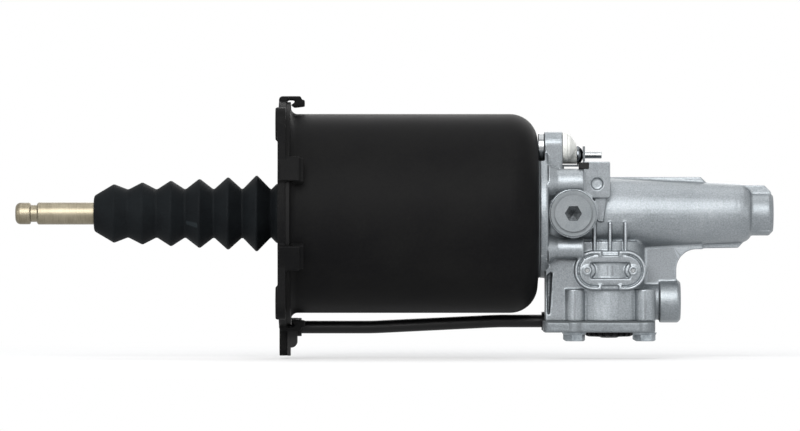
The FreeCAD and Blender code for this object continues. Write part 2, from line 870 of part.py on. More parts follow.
def piston_nut():
    nut = new_body("piston_nut")
    face = new_sketch(nut, "nut_hexagon", "YZ", "plunger_front + seat_gap")
    outline(face, hexagon("2 * piston_nut_radius"))
    pad(nut, face, "nut_blank", "piston_nut_length - 2 * seat_gap")
    rod(nut, "nut_bore", "YZ", "plunger_radius + seat_gap", "piston_nut_length", w="plunger_front", cut=True)
    return nut


def rod_sleeve():
    # The sleeve keeps the ball in the plunger and leaves the rod room to swing.
    back = "ball_place - ball_radius - loose_gap"
    return ring(
        "rod_sleeve", "rod_radius + loose_gap", "plunger_bore - seat_gap", f"{back} - sleeve_length", back,
    )


# Preload spring between the piston's web and the cylinder's end

def spring(label, radius, wire, turns, start, end, axis="H", x=0):
    """A compression spring of half rings that meet in line, with a flat half ring at each end."""
    halves = []
    count = 2 * int(number(turns))
    rise = f"(({end}) - ({start})) / {count}"
    slope = math.degrees(math.atan2(number(rise), 2 * number(radius)))
    along = FreeCAD.Rotation(V(0, 1, 0), 90 if axis == "H" else 0)
    for k in range(-1, count + 1):
        flat = k < 0 or k == count
        half = doc.addObject("Part::Torus", f"{label}_half_{k + 2}")
        half.Placement.Rotation = along * FreeCAD.Rotation(180 * (k % 2), 0 if flat else slope, 0)
        reach = radius if flat else f"sqrt({radius} * {radius} + {rise} * {rise} / 4)"
        bind(half, Radius1=reach, Radius2=wire)
        half.Angle3 = 180
        place = start if k < 0 else end if flat else f"({start}) + {k + 0.5} * {rise}"
        if axis == "H":
            bind(half, Placement__Base__x=place)
        else:
            bind(half, Placement__Base__x=x, Placement__Base__z=place)
        halves.append(half)
    coil = joined(label, halves)
    coil.Label = label
    sub_parts.append(coil)
    return coil


def preload_spring():
    start = "web_back + spring_wire + seat_gap"
    end = "end_inside - spring_wire - loose_gap"
    return spring("preload_spring", "spring_radius", "spring_wire", "spring_turns", start, end)


# Valve body: one die casting with the hydraulic barrel, the relay valve housing and their bosses

class Casting:
    """A casting's lumps, which are joined first, and its bores, which are cut last."""

    def __init__(self, label):
        self.label = label
        self.lumps = []
        self.bores = []

    def keep(self, feature, name, cut=False):
        feature.Label = name
        (self.bores if cut else self.lumps).append(feature)
        return feature

    def solid(self):
        result = self.shape()
        sub_parts.append(result)
        return result

    def shape(self):
        lumps = doc.addObject("Part::MultiFuse", f"{self.label}_lumps")
        lumps.Shapes = self.lumps
        bores = doc.addObject("Part::MultiFuse", f"{self.label}_bores")
        bores.Shapes = self.bores
        result = doc.addObject("Part::Cut", self.label)
        result.Base = lumps
        result.Tool = bores
        result.Label = self.label
        return result


turns = {
    "XY": FreeCAD.Rotation(),
    "XZ": FreeCAD.Rotation(V(1, 0, 0), 90),
    "YZ": FreeCAD.Rotation(V(1, 1, 1), 120),
}


def lay(feature, plane, u=0, v=0, w=0):
    """Turn a piece from the XY plane into this plane and set it at u, v and w of the plane."""
    feature.Placement = FreeCAD.Placement(V(0, 0, 0), turns[plane])
    x, y, z = {"XY": (u, v, w), "XZ": (u, f"-({w})", v), "YZ": (w, u, v)}[plane]
    bind(feature, Placement__Base__x=x, Placement__Base__y=y, Placement__Base__z=z)
    return feature


def post(cast, name, plane, radius, length, u=0, v=0, w=0, cut=False):
    """A cylinder that rises from w above a plane."""
    feature = lay(doc.addObject("Part::Cylinder", name), plane, u, v, w)
    bind(feature, Radius=radius, Height=length)
    return cast.keep(feature, name, cut)


def lump(cast, name, plane, length, width, height, u=0, v=0, w=0, cut=False):
    """A box with its lowest corner at u, v, w."""
    feature = lay(doc.addObject("Part::Box", name), plane, u, v, w)
    bind(feature, Length=length, Width=width, Height=height)
    return cast.keep(feature, name, cut)


def cone(cast, name, plane, near_radius, far_radius, length, u=0, v=0, w=0):
    feature = lay(doc.addObject("Part::Cone", name), plane, u, v, w)
    bind(feature, Radius1=near_radius, Radius2=far_radius, Height=length)
    return cast.keep(feature, name)


def slab(cast, name, plane, wires, length, w=0, centred=False):
    """One or more closed outlines on a plane, given a thickness."""
    sketch = lay(doc.addObject("Sketcher::SketchObject", f"{name}_outline"), plane, 0, 0, w)
    for corners in wires:
        outline(sketch, corners)
    feature = doc.addObject("Part::Extrusion", name)
    feature.Base = sketch
    feature.DirMode = "Normal"
    feature.Solid = True
    feature.Symmetric = centred
    bind(feature, LengthFwd=length)
    return cast.keep(feature, name)


def stadium(centre_u, centre_v, length, width):
    """An oval with round ends; a short straight is left at the ends so that its arcs stay apart."""
    return rectangle(
        f"{centre_u} - {length} / 2", f"{centre_v} - {width} / 2",
        f"{centre_u} + {length} / 2", f"{centre_v} + {width} / 2", f"{width} / 2.02",
    )


def barrel_and_flange(cast):
    profile = lay(doc.addObject("Sketcher::SketchObject", "core_profile"), "XZ")
    outline(profile, [
        ("spigot_front", 0),
        ("spigot_front", "pilot_radius - seat_gap", "chamfer", "gasket_thickness"),
        ("flange_face", "pilot_radius - seat_gap"),
        ("flange_face", "flange_radius"),
        ("flange_back", "flange_radius", "chamfer", "flange_thickness / 5"),
        ("flange_back", "shoulder_radius", "round", "barrel_fillet / 2"),
        ("barrel_start", "barrel_radius"),
        ("barrel_end", "barrel_end_radius", "round", "barrel_fillet"),
        ("barrel_end + barrel_fillet", "inlet_radius", "round", "barrel_fillet / 2"),
        ("inlet_end", "inlet_radius", "chamfer", "inlet_chamfer"),
        ("inlet_end", 0),
    ])
    core = doc.addObject("Part::Revolution", "core")
    core.Source = profile
    core.Axis = (1, 0, 0)
    core.Angle = 360
    core.Solid = True
    cast.keep(core, "core")
    for side, name in ((-1, "front"), (1, "back")):
        spread = f"{side} * screw_boss_spread"
        length = "boss_end - flange_face"
        post(cast, f"upper_boss_{name}", "YZ", "upper_boss_radius", length, spread, "upper_boss_height",
             "flange_face")
        post(cast, f"lower_boss_{name}", "YZ", "lower_boss_radius", length, spread, "-lower_boss_height",
             "flange_face")
        cone(cast, f"upper_flare_{name}", "YZ", "upper_boss_radius + boss_flare", "upper_boss_radius",
             "boss_flare_length", spread, "upper_boss_height", "flange_back")
        cone(cast, f"lower_flare_{name}", "YZ", "lower_boss_radius + boss_flare", "lower_boss_radius",
             "boss_flare_length", spread, "-lower_boss_height", "flange_back")
    slab(cast, "top_lug", "YZ", [[
        ("-lug_side - lug_radius", "flange_radius / 2"),
        ("indicator_side + lug_radius", "flange_radius / 2"),
        ("indicator_side + lug_radius", "indicator_height + lug_radius", "round", "lug_radius * 0.9"),
        ("indicator_side - lug_side", "indicator_height + lug_radius"),
        ("-lug_side + lug_radius", "lug_height + lug_radius", "round", "lug_radius / 3"),
        ("-lug_side - lug_radius", "lug_height + lug_radius", "round", "lug_radius * 0.9"),
    ]], "lug_end - cylinder_end - collar_depth", "cylinder_end + collar_depth")
    post(cast, "plug_boss", "XZ", "plug_boss_radius", "plug_boss_front", u="plug_place")
    lump(cast, "plug_rib", "XZ", "plug_place - flange_face - plug_boss_radius / 2", "plug_rib_height",
         "plug_rib_front", u="flange_face", v="-plug_rib_height / 2")


def ribs_and_web(cast):
    slab(cast, "lug_plate", "XZ", [[
        ("boss_end", "lug_plate_low"),
        ("lug_plate_right", "lug_plate_low", "round", "lug_plate_round"),
        ("lug_plate_right", "lug_plate_top", "round", "lug_plate_round / 10"),
        ("boss_end", "lug_plate_top"),
    ]], "lug_plate_front - lug_plate_back", "lug_plate_back")
    slab(cast, "top_rib", "XZ", [[
        ("lug_plate_right - 1", "bore_radius"),
        ("top_rib_end + top_rib_slope", "bore_radius"),
        ("top_rib_end + top_rib_slope", "top_rib_height - top_rib_slope"),
        ("top_rib_end", "top_rib_height"),
        ("lug_plate_right - 1", "top_rib_height"),
    ]], "top_rib_width", centred=True)
    slab(cast, "low_rib", "XZ", [[
        ("web_left", "-bore_radius"),
        ("web_left", "-low_rib_height"),
        ("low_rib_end", "-low_rib_height + rib_width / 2"),
        ("low_rib_end + barrel_fillet", "-inlet_radius"),
        ("low_rib_end", "-bore_radius"),
    ]], "web_thickness / 2", centred=True)
    slab(cast, "web", "XZ", [[
        ("web_left", "-port_height"),
        ("web_right", "-port_height"),
        ("web_right", "-low_rib_height", "round", "web_round"),
        ("web_right + 1.3 * web_round", "-low_rib_height"),
        ("web_right + 1.3 * web_round", "-bore_radius"),
        ("web_left", "-bore_radius"),
    ]], "web_thickness", centred=True)
    for k in range(3):
        lump(
            cast, f"gusset_{k + 1}", "XZ", "rib_width", "valve_head_radius - rib_top", "rib_front",
            u=f"valve_axis - rib_width / 2 + {k - 1} * rib_pitch", v="-valve_head_radius",
        )
    post(cast, "bead", "XY", "bead_radius", "lug_plate_low + rib_top", "lug_plate_right - 3 * lug_plate_round",
         "-barrel_radius", "-rib_top")
    slab(cast, "end_pad", "XZ", [[
        ("barrel_end - inlet_chamfer", 0),
        ("inlet_end - inlet_chamfer / 2", 0),
        ("inlet_end - inlet_chamfer / 2", "end_pad_height - end_pad_slope"),
        ("inlet_end - inlet_chamfer / 2 - end_pad_slope", "end_pad_height"),
        ("barrel_end - inlet_chamfer", "end_pad_height"),
    ]], "end_pad_width", centred=True)


def valve_housing(cast):
    post(cast, "valve_head", "XY", "valve_head_radius", "valve_head_low - valve_head_top", "valve_axis", 0,
         "-valve_head_low")
    post(cast, "valve_barrel", "XY", "valve_barrel_radius", "valve_low - bore_radius", "valve_axis", 0,
         "-valve_low")
    lump(cast, "post_bridge", "XY", "2 * cover_screw_x", "valve_barrel_radius * 1.2", "valve_low - screw_post_top",
         u="valve_axis - cover_screw_x", v="-valve_barrel_radius * 0.6", w="-valve_low")
    for across, name in ((-1, "left"), (1, "right")):
        axis = f"valve_axis + {across} * cover_screw_x"
        lump(cast, f"post_rib_{name}", "XY", "screw_post_radius", "2 * cover_screw_y",
             "valve_low - screw_post_top", u=f"{axis} - screw_post_radius / 2", v="-cover_screw_y", w="-valve_low")
        for deep, side in ((-1, "front"), (1, "back")):
            post(cast, f"post_{name}_{side}", "XY", "screw_post_radius", "valve_low - screw_post_top",
                 axis, f"{deep} * cover_screw_y", "-valve_low")
    lump(cast, "shoulder", "XY", "valve_axis - rib_pitch - boss_end + 1", "2 * shoulder_front",
         "column_top - valve_head_top + 1", u="boss_end - 1", v="-shoulder_front", w="-column_top - 1")
    wall_right = "valve_axis - valve_barrel_radius"
    slab(cast, "column", "XZ", [[
        ("column_left", "-valve_low"),
        (wall_right, "-valve_low"),
        (wall_right, "-column_top"),
        ("column_left", "-column_top", "chamfer", "column_chamfer"),
    ]], "column_width - cover_screw_y", centred=True)
    slab(cast, "column_wall", "XZ", [[
        ("column_left", "-valve_low"),
        ("column_right", "-valve_low"),
        ("column_right", "-screw_post_top - 1"),
        (wall_right, "-screw_post_top - 1"),
        (wall_right, "-column_top"),
        ("column_left", "-column_top", "chamfer", "column_chamfer"),
    ]], "column_width", centred=True)
    post(cast, "pipe_boss", "YZ", "pipe_boss_radius", "pipe_boss_length", "pipe_side",
         "-pipe_height + pipe_rise", "column_left")
    port = {"u": 0, "v": "-port_height"}
    post(cast, "port_neck", "YZ", "port_neck_radius", "port_start - valve_axis - valve_barrel_radius",
         w="valve_axis + valve_barrel_radius - 1", **port)
    post(cast, "port_boss", "YZ", "port_radius", "port_end - port_chamfer - port_start + 1", w="port_start - 1",
         **port)
    cone(cast, "port_edge", "YZ", "port_radius", "port_radius - port_chamfer", "port_chamfer",
         w="port_end - port_chamfer", **port)


def name_plate_seat(cast):
    """An oval seat with a raised rim, a window and two pins; it holds no plate."""
    oval = stadium("valve_axis", "-oval_height", "oval_length", "oval_width")
    inside = stadium("valve_axis", "-oval_height", "(oval_length - 2 * oval_rim)", "(oval_width - 2 * oval_rim)")
    window = rectangle(
        "valve_axis - oval_window_length / 2", "-oval_height - oval_window_height / 2",
        "valve_axis + oval_window_length / 2", "-oval_height + oval_window_height / 2",
    )
    edge = "(oval_rim + oval_groove)"
    frame = stadium("valve_axis", "-oval_height", f"(oval_length - 2 * {edge})", f"(oval_width - 2 * {edge})")
    slab(cast, "oval_base", "XZ", [oval], "oval_front - oval_depth")
    slab(cast, "oval_seat", "XZ", [oval, window], "oval_depth", "oval_front - oval_depth")
    slab(cast, "oval_frame", "XZ", [frame, window], "oval_frame_height", "oval_front")
    rim = Casting("oval_rim")
    slab(rim, "oval_rim_ring", "XZ", [oval, inside], "oval_rim_height", "oval_front")
    for level, name in ((-1, "low"), (1, "high")):
        lump(rim, f"notch_{name}", "XZ", "oval_notch", "2 * oval_rim", "oval_rim_height + 1",
             u="valve_axis - oval_notch / 2", v=f"-oval_height + {level} * (oval_width / 2) - oval_rim",
             w="oval_front - 0.5", cut=True)
    for side, name in ((-1, "left"), (1, "right")):
        place = {"u": f"valve_axis + {side} * pin_spread", "v": "-oval_height"}
        post(cast, f"pin_boss_{name}", "XZ", "oval_bite + 1", "oval_depth", w="oval_front - oval_depth", **place)
        post(cast, f"pin_ring_{name}", "XZ", "pin_ring_radius", "oval_rim_height", w="oval_front", **place)
        post(cast, f"pin_hole_{name}", "XZ", "drive_pin_radius + seat_gap", "oval_depth + oval_rim_height + 1",
             w="oval_front - oval_depth", cut=True, **place)
        for level, row in ((-1, "low"), (1, "high")):
            lump(rim, f"rim_end_{name}_{row}", "XZ", "oval_rim", f"{edge}", "oval_rim_height",
                 u=f"valve_axis + {side} * (oval_notch + oval_rim) / 2 - oval_rim / 2",
                 v=f"-oval_height + {level} * (oval_width - {edge}) / 2 - {edge} / 2", w="oval_front")
    cast.keep(rim.shape(), "oval_rim")


def bores(cast):
    """The machined holes, each from the piece that fills it."""
    post(cast, "plunger_hole", "YZ", "bore_radius", "bore_end - spigot_front + 1", w="spigot_front - 1", cut=True)
    post(cast, "seal_hole", "YZ", "seal_bore", "seal_bore_depth + 1", w="spigot_front - 1", cut=True)
    post(cast, "circlip_groove", "YZ", "seal_bore + circlip_seat", "circlip_gauge + 2 * seat_gap",
         w="spigot_front + circlip_gauge - seat_gap", cut=True)
    post(cast, "inlet_hole", "YZ", "inlet_thread", "inlet_depth + 1", w="inlet_end - inlet_depth", cut=True)
    post(cast, "inlet_passage", "YZ", "inlet_thread / 2", "inlet_end - bore_end", w="bore_end - 1", cut=True)
    for side, name in ((-1, "front"), (1, "back")):
        for level, row in (("upper_boss_height", "upper"), ("-lower_boss_height", "lower")):
            post(cast, f"{row}_screw_hole_{name}", "YZ", "body_screw_radius + seat_gap", "body_screw_depth + 2",
                 f"{side} * screw_boss_spread", level, "flange_face - 1", cut=True)
    stud = {"u": "-lug_side", "v": "lug_height"}
    lump(cast, "flange_top", "YZ", "2 * flange_radius", "flange_radius", "collar_depth + seat_gap",
         u="-flange_radius", v="flange_flat", w="cylinder_end", cut=True)
    post(cast, "stud_hole", "YZ", "stud_radius + loose_gap / 2", "lug_end - cylinder_end + 1",
         w="cylinder_end", cut=True, **stud)
    post(cast, "indicator_hole", "YZ", "sleeve_radius + seat_gap", "lug_end - cylinder_end + 1",
         "indicator_side", "indicator_height", "cylinder_end", cut=True)
    post(cast, "plug_hole", "XZ", "plug_shank_radius + seat_gap", "plug_shank_length + 1", "plug_place", 0,
         "plug_boss_front - plug_shank_length", cut=True)
    post(cast, "lug_hole", "XZ", "lug_hole_radius", "lug_hole_depth + 1", "lug_hole_place", "lug_hole_height",
         "lug_plate_front - lug_hole_depth", cut=True)
    post(cast, "relay_hole", "XY", "valve_bore", "valve_low - valve_bore_top + 1", "valve_axis", 0,
         "-valve_low - 1", cut=True)
    post(cast, "pilot_hole", "XY", "pilot_bore", "valve_bore_top", "valve_axis", 0, "-valve_bore_top - 1", cut=True)
    port = {"u": 0, "v": "-port_height"}
    post(cast, "port_hole", "YZ", "port_thread", "port_depth + 1", w="port_end - port_depth", cut=True, **port)
    post(cast, "port_passage_hole", "YZ", "port_passage", "port_end - port_depth - valve_axis + 1",
         w="valve_axis", cut=True, **port)
    for across, name in ((-1, "left"), (1, "right")):
        for deep, side in ((-1, "front"), (1, "back")):
            post(cast, f"cover_screw_hole_{name}_{side}", "XY", "cover_screw_radius + seat_gap",
                 "cover_screw_length - cover_plate_thickness + 2", f"valve_axis + {across} * cover_screw_x",
                 f"{deep} * cover_screw_y", "-valve_low - 1", cut=True)
    post(cast, "pipe_hole", "YZ", "pipe_radius + seat_gap", "pipe_entry + 1", "pipe_side",
         "-pipe_height + pipe_rise", "column_left - 1", cut=True)


def valve_body():
    cast = Casting("valve_body")
    barrel_and_flange(cast)
    ribs_and_web(cast)
    valve_housing(cast)
    name_plate_seat(cast)
    bores(cast)
    return cast.solid()


def group(label, pieces):
    """Identical pieces that share one node, as separate solids."""
    together = doc.addObject("Part::Compound", label)
    together.Links = pieces
    together.Label = label
    sub_parts.append(together)
    return together


def joined(name, pieces, cuts=()):
    """Primitives fused into one solid, less the holes given."""
    whole = doc.addObject("Part::MultiFuse", f"{name}_fuse")
    whole.Shapes = pieces
    for k, hole in enumerate(cuts):
        cut = doc.addObject("Part::Cut", f"{name}_cut_{k + 1}")
        cut.Base = whole
        cut.Tool = hole
        whole = cut
    return whole


def round_bar(name, plane, radius, length, u=0, v=0, w=0):
    bar = lay(doc.addObject("Part::Cylinder", name), plane, u, v, w)
    bind(bar, Radius=radius, Height=length)
    return bar


def hex_bar(name, plane, across, length, u=0, v=0, w=0):
    bar = lay(doc.addObject("Part::Prism", name), plane, u, v, w)
    bar.Polygon = 6
    bind(bar, Circumradius=f"{across} / sqrt(3)", Height=length)
    return bar


# Joint between the cylinder and the valve body

def body_gasket():
    gasket = ring("body_gasket", "pilot_radius", "flange_radius", "cylinder_end", "flange_face")
    holes = new_sketch(gasket, "gasket_holes", "YZ", "cylinder_end - 1")
    for side in (-1, 1):
        add_circle(holes, f"{side} * screw_boss_spread", "upper_boss_height", "body_screw_radius + loose_gap")
        add_circle(holes, f"{side} * screw_boss_spread", "-lower_boss_height", "body_screw_radius + loose_gap")
    outline(holes, rectangle("-flange_radius", "flange_flat", "flange_radius", "2 * flange_radius"))
    pocket(gasket, holes, "gasket_hole_cut", "gasket_thickness + 2", reverse=True)
    return gasket


def body_screws():
    screws = []
    for side, name in ((-1, "front"), (1, "back")):
        for level, row in (("upper_boss_height", "upper"), ("-lower_boss_height", "lower")):
            place = {"u": f"{side} * screw_boss_spread", "v": level}
            tag = f"body_screw_{row}_{name}"
            head = round_bar(f"{tag}_head", "YZ", "body_head_radius", "body_head_length",
                             w="end_inside - body_head_length", **place)
            shank = round_bar(f"{tag}_shank", "YZ", "body_screw_radius",
                              "body_screw_depth + cylinder_wall + gasket_thickness", w="end_inside", **place)
            socket = hex_bar(f"{tag}_socket", "YZ", "head_socket", "body_head_length",
                             w="end_inside - 1.4 * body_head_length", **place)
            screws.append(joined(tag, [head, shank], [socket]))
    return group("body_screws", screws)


def top_stud():
    place = {"y": "-lug_side", "z": "lug_height"}
    turned("top_stud", [
        ("end_inside", 0),
        ("end_inside", "stud_radius"),
        ("lug_end + cap_length - cap_wall - seat_gap", "stud_radius", "chamfer", "stud_radius / 6"),
        ("lug_end + cap_length - cap_wall - seat_gap", 0),
    ], **place)
    ring("stud_collar", "stud_radius + seat_gap", "collar_face_radius", "cylinder_end",
         "cylinder_end + collar_depth", "stud_radius / 10", **place)
    nut = new_body("stud_nut", **place)
    face = new_sketch(nut, "stud_nut_hexagon", "YZ", "lug_end + seat_gap")
    outline(face, hexagon("stud_nut_across"))
    pad(nut, face, "stud_nut_blank", "stud_nut_length")
    rod(nut, "stud_nut_bore", "YZ", "stud_radius + seat_gap", "stud_nut_length + 1", w="lug_end", cut=True)
    turned("stud_cap", [
        ("lug_end + seat_gap", "cap_radius - cap_wall"),
        ("lug_end + seat_gap", "cap_rim_radius", "round", "cap_wall / 3"),
        ("lug_end + cap_rim_width", "cap_rim_radius", "round", "cap_wall / 3"),
        ("lug_end + cap_rim_width", "cap_radius"),
        ("lug_end + cap_length", "cap_radius", "round", "cap_radius / 1.6"),
        ("lug_end + cap_length", 0),
        ("lug_end + cap_length - cap_wall", 0),
        ("lug_end + cap_length - cap_wall", "cap_radius - cap_wall", "round", "cap_radius / 1.6 - cap_wall"),
    ], **place)


# Wear indicator: a pin that the piston pushes out as the clutch lining wears

def wear_indicator():
    place = {"y": "indicator_side", "z": "indicator_height"}
    hole = "indicator_radius + fit_gap"
    ring("indicator_sleeve", hole, "sleeve_radius", "end_inside", "lug_end - 3 * collar_depth",
         **place)
    turned("indicator_bush", [
        ("lug_end - 2 * collar_depth", hole),
        ("lug_end - 2 * collar_depth", "sleeve_radius", "chamfer", "fit_gap * 4"),
        ("lug_end + seat_gap", "sleeve_radius"),
        ("lug_end + seat_gap", "bush_radius", "round", "fit_gap * 5"),
        ("bush_end", "bush_radius", "round", "fit_gap * 5"),
        ("bush_end", hole),
    ], **place)
    turned("indicator_dome", [
        ("bush_end + seat_gap", hole),
        ("bush_end + seat_gap", "dome_radius"),
        ("bush_end + dome_length / 4", "dome_radius", "right", "dome_radius"),
        ("bush_end + dome_length", hole),
    ], **place)
    clip = new_body("indicator_clip", **place)
    strip = new_sketch(clip, "clip_strip", "XZ")
    low = "-dome_radius - seat_gap"
    upright = "bush_end + dome_length + seat_gap"
    outline(strip, [
        ("lug_end + seat_gap", f"{low} - clip_gauge - clip_foot"),
        ("lug_end + seat_gap + clip_gauge", f"{low} - clip_gauge - clip_foot"),
        ("lug_end + seat_gap + clip_gauge", f"{low} - clip_gauge"),
        (f"{upright} + clip_gauge", f"{low} - clip_gauge", "round", "clip_gauge * 1.5"),
        (f"{upright} + clip_gauge", "clip_top"),
        (upright, "clip_top"),
        (upright, low),
        ("lug_end + seat_gap", low),
    ])
    pad(clip, strip, "clip_bend", "clip_width", centred=True)
    rod(clip, "clip_hole", "YZ", "indicator_radius + fit_gap", "3 * clip_gauge", w=f"{upright} - clip_gauge", cut=True)
    turned("indicator_pin", [
        ("web_back + piston_travel + loose_gap", 0),
        ("web_back + piston_travel + loose_gap", "indicator_radius", "chamfer", "indicator_radius / 5"),
        ("indicator_out", "indicator_radius", "chamfer", "indicator_radius / 8"),
        ("indicator_out", 0),
    ], **place)


# Screw plug with an inner hexagon, and its sealing ring

def screw_plug():
    plug = new_body("screw_plug", x="plug_place")
    seat = "plug_boss_front + plug_ring_height"
    rod(plug, "plug_shank", "XZ", "plug_shank_radius", "plug_shank_length + plug_ring_height",
        w=f"{seat} - plug_shank_length - plug_ring_height + seat_gap")
    rod(plug, "plug_collar", "XZ", "plug_collar_radius", "plug_collar_height", w=seat)
    rod(plug, "plug_face", "XZ", "plug_face_radius", "plug_face_height", w=f"{seat} + plug_collar_height")
    top = f"{seat} + plug_collar_height + plug_face_height"
    socket = new_sketch(plug, "plug_socket_hexagon", "XZ", top)
    outline(socket, hexagon("plug_socket"))
    pocket(plug, socket, "plug_socket_cut", "plug_socket_depth")
    washer = new_body("plug_ring", x="plug_place")
    rod(washer, "plug_ring_blank", "XZ", "plug_collar_radius - loose_gap", "plug_ring_height - seat_gap",
        w="plug_boss_front + seat_gap / 2")
    rod(washer, "plug_ring_hole", "XZ", "plug_shank_radius + seat_gap", "2 * plug_ring_height",
        w="plug_boss_front - seat_gap", cut=True)


def drive_pins():
    pins = []
    for side, name in ((-1, "left"), (1, "right")):
        pins.append(round_bar(
            f"drive_pin_{name}", "XZ", "drive_pin_radius", "drive_pin_length",
            f"valve_axis + {side} * pin_spread", "-oval_height",
            "oval_front + oval_rim_height - drive_pin_length",
        ))
    return group("drive_pins", pins)


# Guide and seal of the plunger at the mouth of the barrel

def plunger_guides():
    circlip = "spigot_front + circlip_gauge"
    ring("bush_circlip", "seal_bore - 2 * circlip_seat", "seal_bore + circlip_seat - seat_gap", circlip,
         f"{circlip} + circlip_gauge")
    bush = f"{circlip} + circlip_gauge + seat_gap"
    ring("guide_bush", "plunger_radius + fit_gap", "seal_bore - seat_gap", bush, f"{bush} + bush_length")
    seal = f"{bush} + bush_length + seat_gap"
    lip = "plunger_seal_length / 3"
    turned("plunger_seal", [
        (seal, "plunger_radius + fit_gap + seat_gap * 6"),
        (f"{seal} + {lip}", "plunger_radius + fit_gap + seat_gap * 6"),
        (f"{seal} + plunger_seal_length", "plunger_radius + seal_gap"),
        (f"{seal} + plunger_seal_length", f"plunger_radius + {lip} * 0.6"),
        (f"{seal} + {lip} * 1.5", f"plunger_radius + {lip}"),
        (f"{seal} + plunger_seal_length", f"seal_bore - {lip} * 0.8"),
        (f"{seal} + plunger_seal_length", "seal_bore - seat_gap"),
        (seal, "seal_bore - seat_gap"),
    ])


# Relay valve: the control piston closes the exhaust, then opens the inlet

def relay_valve():
    place = {"axis": "V", "x": "valve_axis"}
    groove_top = "-control_disc_top - (control_disc_length - control_groove) / 2"
    disc_low = "-control_disc_top - control_disc_length"
    face = "-seat_top - seat_length - seat_lip - seat_gap"
    disc = "valve_bore - fit_gap"
    turned("control_piston", [
        ("exhaust_bore", f"{face} + exhaust_lift"),
        ("exhaust_tube_radius", f"{face} + exhaust_lift"),
        ("exhaust_tube_radius", disc_low),
        (disc, disc_low),
        (disc, f"{groove_top} - control_groove"),
        (f"{disc} - control_groove_depth", f"{groove_top} - control_groove"),
        (f"{disc} - control_groove_depth", groove_top),
        (disc, groove_top),
        (disc, "-control_disc_top"),
        ("pilot_bore - fit_gap", "-control_disc_top"),
        ("pilot_bore - fit_gap", "-control_top"),
        (0, "-control_top"),
        (0, f"{disc_low} + exhaust_bore"),
        ("exhaust_bore", f"{disc_low} + exhaust_bore"),
    ], **place)
    ring("control_seal", f"{disc} - control_groove_depth + seat_gap", "valve_bore - seat_gap",
         f"{groove_top} - control_groove + seat_gap", f"{groove_top} - seat_gap", **place)
    turned("valve_seat", [
        ("seat_hole", "-seat_top - seat_length - seat_lip"),
        ("seat_hole + seat_lip", "-seat_top - seat_length - seat_lip"),
        ("seat_hole + 2 * seat_lip", "-seat_top - seat_length"),
        ("valve_bore - seat_gap", "-seat_top - seat_length"),
        ("valve_bore - seat_gap", "-seat_top"),
        ("seat_hole", "-seat_top"),
    ], **place)
    turned("inlet_valve", [
        ("exhaust_bore", "-valve_low + 2 * seat_gap + exhaust_lift * 1.5"),
        ("inlet_face_stem", "-valve_low + 2 * seat_gap + exhaust_lift * 1.5"),
        ("inlet_face_stem", f"{face} - inlet_face_length"),
        ("inlet_face_radius", f"{face} - inlet_face_length"),
        ("inlet_face_radius", face),
        ("exhaust_bore", face),
    ], **place)
    ring("valve_guide", "inlet_face_stem + fit_gap", "valve_bore - seat_gap", "-valve_low", "-guide_top", **place)
    spring("control_spring", "valve_spring_radius", "valve_spring_wire", "valve_spring_turns",
           "-seat_top + valve_spring_wire + seat_gap", f"{disc_low} - valve_spring_wire - seat_gap",
           axis="V", x="valve_axis")
    spring("inlet_spring", "valve_spring_radius", "valve_spring_wire", "valve_spring_turns",
           "-guide_top + valve_spring_wire + seat_gap",
           f"{face} - inlet_face_length - valve_spring_wire - seat_gap", axis="V", x="valve_axis")


# Valve cover with its gasket, four flange screws and the rubber exhaust flap

def cover_outline(sketch):
    notch = "pipe_side - pipe_boss_radius - loose_gap"
    outline(sketch, [
        ("cover_plate_left", "-cover_plate_width / 2", "round", "cover_plate_round"),
        ("cover_plate_right", "-cover_plate_width / 2", "round", "cover_plate_round"),
        ("cover_plate_right", "cover_plate_width / 2", "round", "cover_plate_round"),
        ("column_left + pipe_boss_length + loose_gap", "cover_plate_width / 2"),
        ("column_left + pipe_boss_length + loose_gap", notch),
        ("cover_plate_left", notch),
    ])


def cover_holes(sketch, radius):
    for across in (-1, 1):
        for deep in (-1, 1):
            add_circle(sketch, f"valve_axis + {across} * cover_screw_x", f"{deep} * cover_screw_y", radius)


def valve_cover():
    gasket = new_body("cover_gasket")
    sheet_outline = new_sketch(gasket, "cover_gasket_outline", "XY", "-valve_low - cover_gasket")
    cover_outline(sheet_outline)
    add_circle(sheet_outline, "valve_axis", 0, "valve_bore")
    cover_holes(sheet_outline, "cover_screw_radius + loose_gap")
    pad(gasket, sheet_outline, "cover_gasket_sheet", "cover_gasket")
    plate = new_body("valve_cover")
    low = "-valve_low - cover_gasket - cover_plate_thickness"
    plate_outline = new_sketch(plate, "cover_plate_outline", "XY", low)
    cover_outline(plate_outline)
    cover_holes(plate_outline, "cover_screw_radius + loose_gap / 2")
    pad(plate, plate_outline, "cover_plate", "cover_plate_thickness")
    rod(plate, "exhaust_recess_cut", "XY", "valve_bore - loose_gap", "exhaust_recess + 1", "valve_axis", 0,
        "-valve_low - cover_gasket - exhaust_recess", cut=True)
    vents = new_sketch(plate, "exhaust_vents", "XY", f"{low} - 1")
    add_circle(vents, "valve_axis", 0, "flap_stem + seat_gap")
    for k in range(6):
        add_circle(vents, f"valve_axis + exhaust_hole_circle * cos({60 * k})",
                   f"exhaust_hole_circle * sin({60 * k})", "exhaust_hole_radius")
    pocket(plate, vents, "exhaust_vent_cut", "cover_plate_thickness + 2", reverse=True)


